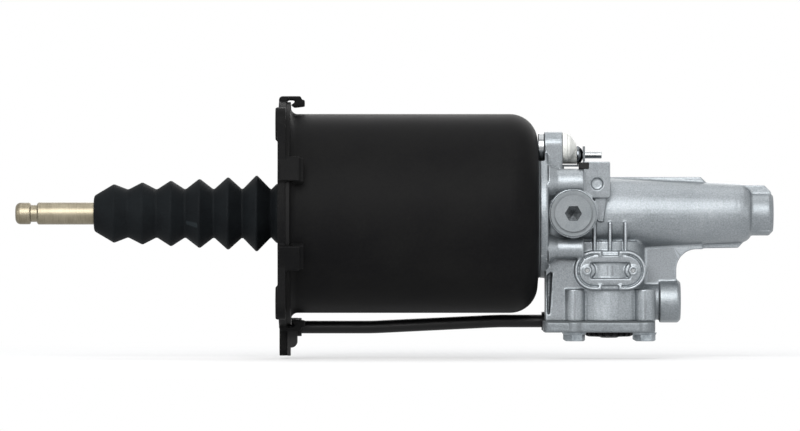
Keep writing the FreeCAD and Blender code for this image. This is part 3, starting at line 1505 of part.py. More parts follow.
def cover_screws():
    low = "-valve_low - cover_gasket - cover_plate_thickness"
    screws = []
    for across, name in ((-1, "left"), (1, "right")):
        for deep, side in ((-1, "front"), (1, "back")):
            tag = f"cover_screw_{name}_{side}"
            place = {"u": f"valve_axis + {across} * cover_screw_x", "v": f"{deep} * cover_screw_y"}
            shank = round_bar(f"{tag}_shank", "XY", "cover_screw_radius", "cover_screw_length + cover_flange_height",
                              w=f"{low} - cover_flange_height", **place)
            flange = round_bar(f"{tag}_flange", "XY", "cover_flange_radius", "cover_flange_height",
                               w=f"{low} - cover_flange_height", **place)
            head = hex_bar(f"{tag}_head", "XY", "cover_head_across", "cover_head_height",
                           w=f"{low} - cover_flange_height - cover_head_height", **place)
            screws.append(joined(tag, [shank, flange, head]))
    return group("cover_screws", screws)


def exhaust_flap():
    low = "-valve_low - cover_gasket - cover_plate_thickness"
    return turned("exhaust_flap", [
        (0, f"{low} - flap_height", ),
        ("flap_radius * 0.45", f"{low} - flap_height"),
        ("flap_radius * 0.85", f"{low} - flap_height * 0.7"),
        ("flap_radius", f"{low} - seat_gap - flap_height / 4"),
        ("flap_radius", f"{low} - seat_gap"),
        ("flap_stem", f"{low} - seat_gap"),
        ("flap_stem", "-valve_low - cover_gasket - exhaust_recess + seat_gap"),
        (0, "-valve_low - cover_gasket - exhaust_recess + seat_gap"),
    ], axis="V", x="valve_axis")


# Breather pipe from the cover's foot to the valve housing

def breather():
    elbow = new_body("pipe_elbow", y="pipe_side")
    side = new_sketch(elbow, "elbow_outline", "XZ")
    outline(side, [
        ("cover_back", "-foot_low"),
        ("cover_back + elbow_step", "-foot_low"),
        ("cover_back + elbow_step", "-elbow_low"),
        ("cover_back + elbow_depth", "-elbow_low", "round", "elbow_depth * 0.6"),
        ("cover_back + elbow_depth", "-pipe_height + pipe_radius + 1.5"),
        ("cover_back", "-pipe_height + pipe_radius + 1.5"),
    ])
    pad(elbow, side, "elbow_block", "foot_width - 2", centred=True)
    rod(elbow, "elbow_hole", "YZ", "grommet_radius + seat_gap", "elbow_depth", 0, "-pipe_height",
        "rim_back + loose_gap", cut=True)
    rod(elbow, "elbow_pipe_hole", "YZ", "pipe_radius + seat_gap", "elbow_depth", 0, "-pipe_height",
        "pipe_front - seat_gap", cut=True)
    rod(elbow, "elbow_rim_gap", "YZ", "rim_radius + loose_gap", "rim_back + loose_gap", "-pipe_side", 0,
        0, cut=True)
    pipe = new_body("air_pipe", y="pipe_side")
    path = new_sketch(pipe, "pipe_route", "XZ")
    outline(path, [
        ("pipe_front", "-pipe_height"),
        ("pipe_bend_start", "-pipe_height", "round", "pipe_bend_round"),
        ("pipe_bend_end", "-pipe_height + pipe_rise", "round", "pipe_bend_round"),
        ("column_left + pipe_entry", "-pipe_height + pipe_rise"),
    ], closed=False)
    section = new_sketch(pipe, "pipe_section", "YZ", "pipe_front")
    add_circle(section, 0, "-pipe_height", "pipe_radius")
    add_circle(section, 0, "-pipe_height", "pipe_bore")
    sweep = pipe.newObject("PartDesign::AdditivePipe", "pipe_sweep")
    sweep.Profile = section
    sweep.Spine = (path, [f"Edge{k + 1}" for k in range(5)])
    grommets = []
    for name, start, height in (
        ("front", "rim_back + loose_gap + seat_gap", "-pipe_height"),
        ("back", "column_left - grommet_length / 2", "-pipe_height + pipe_rise"),
    ):
        place = {"u": "pipe_side", "v": height}
        length = "elbow_depth - elbow_step + grommet_length / 2" if name == "front" else "grommet_length / 2 - seat_gap"
        outer = round_bar(f"grommet_{name}", "YZ", "grommet_radius", length, w=start, **place)
        hole = round_bar(f"grommet_{name}_hole", "YZ", "pipe_radius + seat_gap", f"{length} + 2",
                         w="pipe_front - seat_gap" if name == "front" else f"{start} - 1", **place)
        cut = doc.addObject("Part::Cut", f"grommet_{name}_ring")
        cut.Base = outer
        cut.Tool = hole
        grommets.append(cut)
    group("pipe_grommets", grommets)


# Build every piece, test it and write it out

for make in (
    cylinder_shell, front_cover, cover_seal, bellows, push_rod, air_piston, piston_lip_seal, piston_guide_ring,
    plunger, piston_nut, rod_sleeve, preload_spring, valve_body, body_gasket, body_screws, top_stud,
    wear_indicator, screw_plug, drive_pins, plunger_guides, relay_valve, valve_cover, cover_screws,
    exhaust_flap, breather,
):
    make()
doc.recompute()

for thing in doc.Objects:
    if "Invalid" in thing.State or "Error" in thing.State:
        raise RuntimeError(f"{thing.Label} did not build: {thing.State}")
os.makedirs("parts", exist_ok=True)
for piece in sub_parts:
    if piece.Shape.isNull() or not piece.Shape.isValid():
        raise RuntimeError(f"{piece.Label} has no sound shape")
    piece.Shape.exportStep(f"parts/{piece.Label}.step")
    print(piece.Label, len(piece.Shape.Solids), "solid", round(piece.Shape.Volume), "mm3")
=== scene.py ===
import bmesh
import bpy
import math
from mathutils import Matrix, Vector


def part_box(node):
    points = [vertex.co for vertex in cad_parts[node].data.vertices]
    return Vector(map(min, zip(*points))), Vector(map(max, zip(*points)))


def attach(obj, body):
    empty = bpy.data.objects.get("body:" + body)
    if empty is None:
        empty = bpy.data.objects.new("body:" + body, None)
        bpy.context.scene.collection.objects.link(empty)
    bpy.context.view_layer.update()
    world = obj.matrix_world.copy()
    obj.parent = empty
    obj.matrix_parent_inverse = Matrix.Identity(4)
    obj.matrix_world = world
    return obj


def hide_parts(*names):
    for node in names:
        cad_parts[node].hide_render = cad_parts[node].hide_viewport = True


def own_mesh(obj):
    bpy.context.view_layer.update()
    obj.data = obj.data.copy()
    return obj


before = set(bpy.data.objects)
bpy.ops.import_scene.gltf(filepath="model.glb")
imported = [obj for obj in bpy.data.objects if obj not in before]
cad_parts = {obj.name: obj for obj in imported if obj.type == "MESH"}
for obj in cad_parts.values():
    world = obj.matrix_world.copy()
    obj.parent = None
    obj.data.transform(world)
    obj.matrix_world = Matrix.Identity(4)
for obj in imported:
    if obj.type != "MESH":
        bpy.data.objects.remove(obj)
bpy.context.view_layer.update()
scene = bpy.context.scene
mm = 0.001  # one millimetre in the scene's metres
print("stage: frame loaded,", len(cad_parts), "nodes")


# Small helpers

def linearColour(hexCode):
    parts = [int(hexCode[i:i + 2], 16) / 255 for i in (1, 3, 5)]
    return tuple(p / 12.92 if p <= 0.04045 else ((p + 0.055) / 1.055) ** 2.4 for p in parts) + (1.0,)


def addNode(tree, kind, settings=None, inputs=None):
    # settings are a dictionary or one operation's name; an input is a value, a socket or a node with one result
    node = tree.nodes.new(kind)
    if isinstance(settings, str):
        settings = {"operation": settings}
    for name, value in (settings or {}).items():
        setattr(node, name, value)
    for socket, value in (inputs.items() if isinstance(inputs, dict) else enumerate(inputs or [])):
        if isinstance(value, bpy.types.Node):
            value = value.outputs[0]
        if isinstance(value, bpy.types.NodeSocket):
            tree.links.new(value, node.inputs[socket])
        else:
            node.inputs[socket].default_value = value
    return node


def newObject(name, mesh):
    piece = bpy.data.objects.new(name, mesh)
    scene.collection.objects.link(piece)
    return piece


def dress(nodeName, material):
    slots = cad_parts[nodeName].data.materials
    slots.clear()
    slots.append(material)


# Geometry Nodes: build a tree, run it on an empty mesh and keep the plain mesh

def newTree(name, inputs):
    tree = bpy.data.node_groups.new(name, "GeometryNodeTree")
    tree.is_modifier = True
    for label, (kind, value) in inputs.items():
        socket = tree.interface.new_socket(label, in_out="INPUT", socket_type=kind)
        if kind != "NodeSocketMaterial":
            socket.default_value = value
    tree.interface.new_socket("Geometry", in_out="OUTPUT", socket_type="NodeSocketGeometry")
    return tree, addNode(tree, "NodeGroupInput"), addNode(tree, "NodeGroupOutput")


def bakeTree(name, tree, inputs):
    carrier = newObject(f"{name}Carrier", bpy.data.meshes.new(f"{name}Carrier"))
    modifier = carrier.modifiers.new(name, "NODES")
    modifier.node_group = tree
    for item in tree.interface.items_tree:
        if item.in_out == "INPUT":
            modifier[item.identifier] = inputs[item.name][1]
    bpy.context.view_layer.update()
    graph = bpy.context.evaluated_depsgraph_get()
    mesh = bpy.data.meshes.new_from_object(carrier.evaluated_get(graph), depsgraph=graph)
    carrier.modifiers.remove(modifier)
    bpy.data.objects.remove(carrier)
    return newObject(name, mesh)


def faceOutwards(mesh):
    shell = bmesh.new()
    shell.from_mesh(mesh)
    bmesh.ops.recalc_face_normals(shell, faces=shell.faces)
    if shell.calc_volume(signed=True) < 0:
        bmesh.ops.reverse_faces(shell, faces=shell.faces)
    shell.to_mesh(mesh)
    shell.free()


# Materials: one graph, read in Object coordinates, with a grain, a broad variation, lighter edges that are wear and
# on the castings also a painted highlight, and painted shade in corners

# what a finish has when it says nothing else; grain, broad, reach and bumpDepth are in millimetres
plainLook = {"metallic": 0.0, "ior": 1.5, "specular": 0.5, "grainShare": 0.5, "broad": 25, "spread": 0.12,
             "bump": 0.3, "bumpDepth": 0.05, "roughSpread": 0.05, "reach": 5, "turnedAbout": None, "edgeWearAndHighlight": None,
             "cornerShade": None}
# bands of pointiness for the lighter edges (wear and painted highlight), of ambient occlusion for the painted
# corner shade, of the noise for the roughness, and the occlusion's rays
patternBands = {"wornAndHighlitEdge": (0.52, 0.6), "shadedCorner": (0.15, 0.85), "polish": (0.3, 0.7), "cornerRays": 6}


def newMaterial(name, finish):
    look = {**plainLook, **finish}
    material = bpy.data.materials.new(name)
    material.use_nodes = True
    tree = material.node_tree
    shader = tree.nodes["Principled BSDF"]
    shader.inputs["Metallic"].default_value = look["metallic"]
    shader.inputs["IOR"].default_value = look["ior"]
    shader.inputs["Specular IOR Level"].default_value = look["specular"]
    coordinates = addNode(tree, "ShaderNodeTexCoord")
    place = coordinates.outputs["Object"]
    if look["turnedAbout"]:
        centre, axis = look["turnedAbout"]
        stretch = [1.0, 1.0, 1.0]
        stretch["XYZ".index(axis)] = look["turnStretch"]  # squeezes the grain into rings round the axis
        place = addNode(tree, "ShaderNodeMapping", {"vector_type": "POINT"},
                        {"Vector": place, "Location": [-c for c in centre], "Scale": stretch})
    grain = addNode(tree, "ShaderNodeTexNoise", {"noise_dimensions": "3D"},
                    {"Vector": place, "Scale": 1 / (look["grain"] * mm), "Detail": 3.0, "Roughness": 0.6})
    broad = addNode(tree, "ShaderNodeTexNoise", {"noise_dimensions": "3D"},
                    {"Vector": coordinates.outputs["Object"], "Scale": 1 / (look["broad"] * mm), "Detail": 4.0,
                     "Roughness": 0.55})
    fine = addNode(tree, "ShaderNodeMath", "MULTIPLY", [grain.outputs["Fac"], look["grainShare"]])
    both = addNode(tree, "ShaderNodeMath", "MULTIPLY_ADD", [broad.outputs["Fac"], 1 - look["grainShare"], fine])
    tint = addNode(tree, "ShaderNodeValToRGB", {}, {"Fac": both})
    for element, side, shade in zip(tint.color_ramp.elements, (-1, 1), ("dark", "light")):
        element.position = 0.5 + side * look["spread"]
        element.color = linearColour(look[shade])
    colour = tint.outputs["Color"]
    # edges lighter by pointiness: real wear, and on the die castings also a painted edge highlight
    if look["edgeWearAndHighlight"]:
        raised = addNode(tree, "ShaderNodeNewGeometry").outputs["Pointiness"]
        low, high = patternBands["wornAndHighlitEdge"]
        edge = addNode(tree, "ShaderNodeMapRange", {"clamp": True},
                       {"Value": raised, "From Min": low, "From Max": high, "To Min": 0.0,
                        "To Max": look["edgeWearAndHighlightShare"]})
        wornAndHighlit = addNode(tree, "ShaderNodeMix", {"data_type": "RGBA"},
                       {0: edge, 6: colour, 7: linearColour(look["edgeWearAndHighlight"])})
        colour = wornAndHighlit.outputs[2]
    # painted shade: the colour is darkened in corners and recesses, where ambient occlusion finds them
    if look["cornerShade"]:
        shade = addNode(tree, "ShaderNodeAmbientOcclusion", {"samples": patternBands["cornerRays"]},
                        {"Distance": look["reach"] * mm})
        low, high = patternBands["shadedCorner"]
        depth = addNode(tree, "ShaderNodeMapRange", {"clamp": True},
                        {"Value": shade.outputs["AO"], "From Min": low, "From Max": high,
                         "To Min": look["cornerShadeShare"], "To Max": 0.0})
        cornerShaded = addNode(tree, "ShaderNodeMix", {"data_type": "RGBA"},
                         {0: depth, 6: colour, 7: linearColour(look["cornerShade"])})
        colour = cornerShaded.outputs[2]
    tree.links.new(colour, shader.inputs["Base Color"])
    low, high = patternBands["polish"]
    polish = addNode(tree, "ShaderNodeMapRange", {"clamp": True},
                     {"Value": both, "From Min": low, "From Max": high,
                      "To Min": look["roughness"] - look["roughSpread"],
                      "To Max": look["roughness"] + look["roughSpread"]})
    tree.links.new(polish.outputs["Result"], shader.inputs["Roughness"])
    relief = addNode(tree, "ShaderNodeBump", {},
                     {"Height": grain.outputs["Fac"], "Strength": look["bump"], "Distance": look["bumpDepth"] * mm})
    tree.links.new(relief.outputs["Normal"], shader.inputs["Normal"])
    return material


finishes = {
    # Pressure die-cast aluminium, shot-blasted: a fine grey-blue sparkle, edges brighter from rubbed wear and a
    # painted highlight, corners darkened by painted shade.
    "shotBlastedDieCast": {"metallic": 0.8, "roughness": 0.43, "dark": "#72787c", "light": "#93989c", "grain": 0.75,
                           "grainShare": 0.72, "spread": 0.16, "broad": 22, "bump": 0.55, "bumpDepth": 0.12,
                           "edgeWearAndHighlight": "#c8ced3", "edgeWearAndHighlightShare": 0.5, "cornerShade": "#5c6368", "cornerShadeShare": 0.22,
                           "reach": 3},
    # Large flat faces of the same casting: a little rougher, with a darker copy of the casting colour as painted
    # shade.
    "shadedFlatDieCast": {"metallic": 0.8, "roughness": 0.46, "dark": "#63686b", "light": "#808488", "grain": 0.75,
                    "grainShare": 0.72, "spread": 0.16, "broad": 22, "bump": 0.5, "bumpDepth": 0.12,
                    "edgeWearAndHighlight": "#c8ced3", "edgeWearAndHighlightShare": 0.5, "cornerShade": "#53595d", "cornerShadeShare": 0.22, "reach": 3},
    # The same casting as the cover plate: flatter and duller, with a darker copy of the casting colour as painted
    # shade.
    "shadedDieCastPlate": {"metallic": 0.7, "roughness": 0.5, "dark": "#5c6164", "light": "#7a7f83", "grain": 0.75,
                     "grainShare": 0.7, "spread": 0.16, "broad": 18, "bump": 0.45, "bumpDepth": 0.1,
                     "edgeWearAndHighlight": "#b4babe", "edgeWearAndHighlightShare": 0.5},
    # Turned face of the casting: closer, smoother and brighter than its skin, with faint tool rings.
    "machinedDieCast": {"metallic": 0.95, "roughness": 0.34, "dark": "#82888c", "light": "#9da3a7", "grain": 0.5,
                        "broad": 12, "bump": 0.15, "bumpDepth": 0.03},
    # Satin black stove enamel on drawn steel: deep black with a faint orange peel and thin dust.
    "satinBlackEnamel": {"roughness": 0.56, "specular": 0.04, "dark": "#0e0e0f", "light": "#141414", "grain": 1.6,
                         "grainShare": 0.35, "broad": 40, "bump": 0.1, "bumpDepth": 0.05, "edgeWearAndHighlight": "#262626",
                         "edgeWearAndHighlightShare": 0.5},
    # Moulded chloroprene rubber: matte blue-black with a dry bloom, softer on the folds.
    "mouldedRubber": {"roughness": 0.66, "specular": 0.05, "dark": "#0e1012", "light": "#141719", "grain": 0.9,
                      "grainShare": 0.4, "broad": 16, "bump": 0.2, "bumpDepth": 0.06, "edgeWearAndHighlight": "#2a3033",
                      "edgeWearAndHighlightShare": 0.45},
    # Nitrile rubber of seals, grommets and flap: blacker and smoother than the bellows.
    "nitrileRubber": {"roughness": 0.55, "specular": 0.2, "dark": "#0b0b0c", "light": "#131314", "grain": 0.6,
                      "broad": 9, "bump": 0.15, "bumpDepth": 0.04},
    # Turned steel with yellow zinc: champagne metal, with rings of the turning tool round it.
    "yellowZincSteel": {"metallic": 1.0, "roughness": 0.42, "dark": "#736c5c", "light": "#918a79", "grain": 6.0,
                        "grainShare": 0.55, "broad": 10, "bump": 0.12, "bumpDepth": 0.02,
                        "turnedAbout": ((0, 0, 0), "X"), "turnStretch": 30.0},
    # Ground bright steel: clear grey metal with very fine rings.
    "groundSteel": {"metallic": 1.0, "roughness": 0.24, "dark": "#85888a", "light": "#a6a9ab", "grain": 5.0,
                    "broad": 8, "bump": 0.03, "bumpDepth": 0.01, "turnedAbout": ((0, 0, 0), "X"),
                    "turnStretch": 30.0},
    # Cold-headed screws with clear zinc: cool light grey, slightly cloudy.
    "clearZincSteel": {"metallic": 0.9, "roughness": 0.38, "dark": "#747b80", "light": "#979ea3", "grain": 0.8,
                       "broad": 4, "bump": 0.2, "bumpDepth": 0.03},
    # Drawn spring wire and strip: dark, oily grey metal.
    "springWire": {"metallic": 0.95, "roughness": 0.34, "dark": "#3c3f42", "light": "#63676a", "grain": 0.5,
                   "broad": 5, "bump": 0.12, "bumpDepth": 0.02},
    # Steel plug with zinc-flake coating: even, matt mid grey that hides the metal, with painted shade darkening its
    # socket and corners.
    "zincFlakePlug": {"metallic": 0.55, "roughness": 0.5, "dark": "#63696c", "light": "#75797c", "grain": 0.6,
                      "broad": 7, "bump": 0.2, "bumpDepth": 0.04, "cornerShade": "#2c3032", "cornerShadeShare": 0.6,
                      "reach": 3},
    # Turned aluminium of pistons and seats: pale, clean metal.
    "turnedAluminium": {"metallic": 1.0, "roughness": 0.3, "dark": "#b2b5b8", "light": "#d0d3d6", "grain": 0.6,
                        "broad": 10, "bump": 0.1, "bumpDepth": 0.02},
    # Natural polyamide cap and bush: milky white plastic with a soft gloss.
    "naturalNylon": {"roughness": 0.4, "dark": "#cbccc8", "light": "#d8d9d5", "grain": 1.2, "broad": 6,
                     "bump": 0.1, "bumpDepth": 0.03},
    # Dark chromed dome: almost black mirror.
    "darkChrome": {"metallic": 1.0, "roughness": 0.14, "dark": "#54585c", "light": "#6d7175", "grain": 0.8,
                   "broad": 4, "bump": 0.05, "bumpDepth": 0.01, "roughSpread": 0.03},
    # Black polyamide tube and elbow: drawn plastic, smooth and slightly glossy.
    "blackNylon": {"roughness": 0.4, "specular": 0.25, "dark": "#0b0b0c", "light": "#131314", "grain": 1.0,
                   "broad": 14, "bump": 0.1, "bumpDepth": 0.03},
    # Filled bearing plastic of guides: warm dark brown, dull.
    "bearingPlastic": {"roughness": 0.55, "dark": "#3a332c", "light": "#4c443b", "grain": 0.5, "broad": 6,
                       "bump": 0.12, "bumpDepth": 0.02},
    # Pressed fibre gasket: dull grey edge between the castings.
    "gasketSheet": {"roughness": 0.75, "dark": "#4a4f52", "light": "#626769", "grain": 0.4, "broad": 5,
                    "bump": 0.25, "bumpDepth": 0.04},
}
materials = {name: newMaterial(name, look) for name, look in finishes.items()}
print("stage: materials made,", len(materials))

nodeFinish = {
    "satinBlackEnamel": ["cylinder_shell", "front_cover"],
    "nitrileRubber": ["cover_seal", "piston_lip_seal", "control_seal", "plunger_seal", "inlet_valve",
                      "exhaust_flap", "pipe_grommets"],
    "mouldedRubber": ["bellows"],
    "yellowZincSteel": ["push_rod"],
    "groundSteel": ["plunger", "piston_nut", "indicator_pin", "indicator_sleeve", "stud_collar", "drive_pins"],
    "clearZincSteel": ["body_screws", "top_stud", "stud_nut", "cover_screws"],
    "springWire": ["preload_spring", "indicator_clip", "bush_circlip", "control_spring", "inlet_spring"],
    "zincFlakePlug": ["screw_plug"],
    "turnedAluminium": ["air_piston", "plug_ring", "control_piston", "valve_seat", "valve_guide"],
    "naturalNylon": ["stud_cap", "indicator_bush"],
    "darkChrome": ["indicator_dome"],
    "blackNylon": ["pipe_elbow", "air_pipe"],
    "bearingPlastic": ["piston_guide_ring", "rod_sleeve", "guide_bush"],
    "gasketSheet": ["body_gasket", "cover_gasket"],
    "shotBlastedDieCast": ["valve_body"],
    "shadedDieCastPlate": ["valve_cover"],
}
for finish, names in nodeFinish.items():
    for name in names:
        dress(name, materials[finish])


# Cast housing: the solid's skin rebuilt as one mesh with rounded edges, its machined faces picked out

castSizes = {
    "voxel": 0.45, "smoothing": 0.6, "rounds": 3, "limit": 192000,
    # rounded shoulder where the barrel meets the inlet boss, outside the bore: (place along the axis, radius)
    "shoulder": [(244.0, 13.4), (244.0, 16.3), (250.5, 16.1), (253.0, 15.7), (255.0, 14.8), (256.4, 13.6),
                 (257.2, 12.2), (257.2, 10.0), (252.6, 10.0), (251.4, 13.4)],
    # tapered bead under the lug: (X, Z) corners and depths
    "bead": {"corners": [(171.6, 9.0), (178.4, 9.0), (176.6, -4.2), (173.6, -4.2)], "depths": (-21.6, -15.0)},
    # bowed fronts of the valve housing between its screw posts and of the window above: (X, Y) corners and heights
    "bowedFronts": [
        {"corners": [(167.7, -12.0), (167.7, -16.4), (171.5, -18.0), (175.8, -19.1), (180.3, -19.5), (184.8, -19.1),
                     (189.1, -18.0), (192.9, -16.4), (192.9, -12.0)], "heights": (-58.3, -36.0)},
        {"corners": [(170.6, -16.0), (170.6, -19.6), (175.0, -21.2), (180.3, -21.8), (185.6, -21.2), (190.0, -19.6),
                     (190.0, -16.0)], "heights": (-35.8, -26.2)},
    ],
    # narrow draft slot down the left edge of the valve housing: (X, Z) corners and depths
    "slots": [{"corners": [(145.9, -33.4), (149.1, -31.2), (147.8, -54.5), (146.5, -54.5)],
               "depths": (-40.0, -7.0)}],
}


def addPrism(body, corners, near, far, upright=False):
    rings = [[body.verts.new((u * mm, v * mm, w * mm) if upright else (u * mm, w * mm, v * mm)) for u, v in corners]
             for w in (near, far)]
    body.faces.new(rings[0])
    body.faces.new(rings[1][::-1])
    for k in range(len(corners)):
        j = (k + 1) % len(corners)
        body.faces.new((rings[0][j], rings[0][k], rings[1][k], rings[1][j]))


def addLathe(body, profile, centre=(0.0, 0.0), crosswise=False, spokes=96):
    turns = [2 * math.pi * k / spokes for k in range(spokes)]
    rings = []
    for along, radius in profile:
        spots = [(centre[0] + radius * math.cos(t), centre[1] + radius * math.sin(t)) for t in turns]
        rings.append([body.verts.new((a * mm, along * mm, b * mm) if crosswise else (along * mm, a * mm, b * mm))
                      for a, b in spots])
    pairs = list(zip(rings, rings[1:]))
    if profile[0][1] > 0:
        pairs.append((rings[-1], rings[0]))  # a ring; a section that starts on the axis is closed by its poles
    for low, high in pairs:
        for k in range(spokes):
            j = (k + 1) % spokes
            body.faces.new((low[k], low[j], high[j], high[k]))


def evaluatedMesh(carrier):
    bpy.context.view_layer.update()
    graph = bpy.context.evaluated_depsgraph_get()
    return bpy.data.meshes.new_from_object(carrier.evaluated_get(graph), depsgraph=graph)


def carvedMesh(rough, slots):
    cutter = bmesh.new()
    for slot in slots:
        addPrism(cutter, slot["corners"], *slot["depths"])
    bmesh.ops.recalc_face_normals(cutter, faces=cutter.faces)
    cutterMesh = bpy.data.meshes.new("slotCutter")
    cutter.to_mesh(cutterMesh)
    cutter.free()
    knife = newObject("slotCutter", cutterMesh)
    carve = rough.modifiers.new("carve", "BOOLEAN")
    carve.operation = "DIFFERENCE"
    carve.solver = "EXACT"
    carve.object = knife
    carved = evaluatedMesh(rough)
    rough.modifiers.remove(carve)
    bpy.data.objects.remove(knife)
    return carved


def mergedCopy(nodeName):
    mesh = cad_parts[nodeName].data.copy()
    body = bmesh.new()
    body.from_mesh(mesh)
    bmesh.ops.remove_doubles(body, verts=body.verts, dist=0.002 * mm)
    body.to_mesh(mesh)
    body.free()
    return mesh


def roundedCopy(nodeName, name, sizes, addSolids=None):
    rough = newObject(f"{name}Rough", mergedCopy(nodeName))
    if sizes.get("slots"):
        rough.data = carvedMesh(rough, sizes["slots"])
    if addSolids:
        body = bmesh.new()
        body.from_mesh(rough.data)
        addSolids(body)
        body.to_mesh(rough.data)
        body.free()
    remesh = rough.modifiers.new("skin", "REMESH")
    remesh.mode = "VOXEL"
    remesh.voxel_size = sizes["voxel"] * mm
    soften = rough.modifiers.new("soften", "SMOOTH")
    soften.factor = sizes["smoothing"]
    soften.iterations = sizes["rounds"]
    skin = evaluatedMesh(rough)
    bpy.data.objects.remove(rough)
    piece = newObject(name, skin)
    triangles = sum(len(face.vertices) - 2 for face in skin.polygons)
    if triangles > sizes["limit"]:
        thin = piece.modifiers.new("thin", "DECIMATE")
        thin.ratio = sizes["limit"] / triangles
        piece.data = evaluatedMesh(piece)
        piece.modifiers.remove(thin)
    for face in piece.data.polygons:
        face.use_smooth = True
    print("  ", name, triangles, "triangles before thinning,", len(piece.data.polygons), "faces kept")
    return piece


def castAdditions(body):
    addLathe(body, castSizes["shoulder"])
    addPrism(body, castSizes["bead"]["corners"], *castSizes["bead"]["depths"])
    for front in castSizes["bowedFronts"]:
        addPrism(body, front["corners"], *front["heights"], upright=True)


housing = roundedCopy("valve_body", "castHousing", castSizes, castAdditions)
housing.data.materials.clear()
for finish in ("shotBlastedDieCast", "machinedDieCast", "shadedFlatDieCast"):
    housing.data.materials.append(materials[finish])

# machined faces: (axis, which way it faces, place, middle of a square window on the face and half its side)
machinedFaces = {
    "inletEnd": (0, 1, 269.3, (0.0, 0.0), 100.0),
    "portEnd": (0, 1, 219.0, (0.0, -88.0), 50.0),
    "plugFront": (1, -1, -27.0, (160.2, 0.0), 12.9),
    "mountingFace": (0, -1, 142.3, (0.0, 0.0), 100.0),
    "coverFace": (2, -1, -58.4, (180.0, 0.0), 100.0),
}
machinedReach = {"level": 0.9, "depth": 0.35}


def isMachined(face):
    for axis, way, place, middle, half in machinedFaces.values():
        if face.normal[axis] * way > machinedReach["level"]:
            aside = [face.center[k] / mm - m for k, m in zip([k for k in range(3) if k != axis], middle)]
            if abs(face.center[axis] / mm - place) < machinedReach["depth"] and max(map(abs, aside)) < half:
                return True
    return False


for face in housing.data.polygons:
    if isMachined(face):
        face.material_index = 1

# large flat faces of the die take the darker copy of the casting colour, painted shade, up to their rounded edges;
# the barrel has none
flatSizes = {"level": 0.998, "largeFaceLevel": 0.988, "largeFace": 1.0, "step": 0.2, "leastArea": 28.0,
             "barrelFrom": 152.0, "barrelRadius": 20.9}


def flatPlane(face, level):
    x, y, z = (c / mm for c in face.center)
    onBarrel = x > flatSizes["barrelFrom"] and math.hypot(y, z) < flatSizes["barrelRadius"]
    for axis in range(3):
        if abs(face.normal[axis]) > level and not (axis and onBarrel):
            return axis, round(face.center[axis] / mm / flatSizes["step"])


planeAreas = {}
for face in housing.data.polygons:
    plane = flatPlane(face, flatSizes["level"])
    if plane:
        planeAreas[plane] = planeAreas.get(plane, 0.0) + face.area / mm ** 2
for face in housing.data.polygons:
    isLarge = face.area > flatSizes["largeFace"] * mm ** 2
    plane = flatPlane(face, flatSizes["largeFaceLevel"] if isLarge else flatSizes["level"])
    if face.material_index == 0 and planeAreas.get(plane, 0.0) > flatSizes["leastArea"]:
        face.material_index = 2
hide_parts("valve_body")
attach(housing, "housing")
print("stage: housing")


# Cover plate: the same casting treatment, with a lobe round each of the four screws

plateSizes = {"voxel": 0.45, "smoothing": 0.6, "rounds": 4, "limit": 60000, "heights": (-64.25, -58.95),
              "lobeRadius": 5.2, "lobeCorners": 64,
              "lobeSpots": [(161.3, -18.0), (161.3, 18.0), (199.3, -18.0), (199.3, 18.0)]}


def plateLobes(body):
    turns = [2 * math.pi * k / plateSizes["lobeCorners"] for k in range(plateSizes["lobeCorners"])]
    radius = plateSizes["lobeRadius"]
    for x, y in plateSizes["lobeSpots"]:
        corners = [(x + radius * math.cos(t), y + radius * math.sin(t)) for t in turns]
        addPrism(body, corners, *plateSizes["heights"], upright=True)


coverPlate = roundedCopy("valve_cover", "castCoverPlate", plateSizes, plateLobes)
coverPlate.data.materials.clear()
coverPlate.data.materials.append(materials["shadedDieCastPlate"])
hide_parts("valve_cover")
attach(coverPlate, "housing")
print("stage: cover plate")


# Front cover: pressed sheet with rounded edges

pressedSizes = {"voxel": 0.6, "smoothing": 0.5, "rounds": 4, "limit": 120000}
frontCover = roundedCopy("front_cover", "pressedFrontCover", pressedSizes)
frontCover.data.materials.clear()
frontCover.data.materials.append(materials["satinBlackEnamel"])
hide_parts("front_cover")
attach(frontCover, "housing")
print("stage: front cover")


# Small trim: cone-ended cap over the stud, punched floor of the hexagon socket, rim of its boss, black rubber block
# near the lug

trimSizes = {
    "cap": {"centre": (-4.0, 36.2), "bevel": 0.35,  # section of (place along the axis, radius)
            "section": [(162.4, 0.0), (162.4, 1.5), (158.9, 6.9), (157.5, 7.4), (157.4, 8.0), (154.9, 8.0),
                        (154.9, 6.6), (158.7, 6.2), (161.7, 1.2), (161.7, 0.0)]},
    "socket": {"centre": (160.2, 0.0), "radius": 4.55, "floor": -26.25, "rise": 2.2, "dimple": 0.1},
    "rim": {"section": [(-25.4, 12.45), (-27.6, 12.45), (-27.6, 13.1), (-25.4, 13.1)], "bevel": 0.2},
    "blackBlock": {"low": (163.4, -23.7, 24.0), "high": (168.8, -14.0, 27.6), "bevel": 0.5},
}


def finishPiece(body, name, material, bevel=0.0):
    bmesh.ops.remove_doubles(body, verts=body.verts, dist=0.001 * mm)
    bmesh.ops.recalc_face_normals(body, faces=body.faces)
    mesh = bpy.data.meshes.new(name)
    body.to_mesh(mesh)
    body.free()
    piece = newObject(name, mesh)
    if bevel:
        rounding = piece.modifiers.new("rounding", "BEVEL")
        rounding.width = bevel * mm
        rounding.segments = 3
        piece.data = evaluatedMesh(piece)
        piece.modifiers.remove(rounding)
    piece.data.materials.clear()
    piece.data.materials.append(material)
    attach(piece, "housing")
    return piece


capBody = bmesh.new()
addLathe(capBody, trimSizes["cap"]["section"], trimSizes["cap"]["centre"])
studCap = finishPiece(capBody, "coneEndCap", materials["naturalNylon"], trimSizes["cap"]["bevel"])
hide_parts("stud_cap")

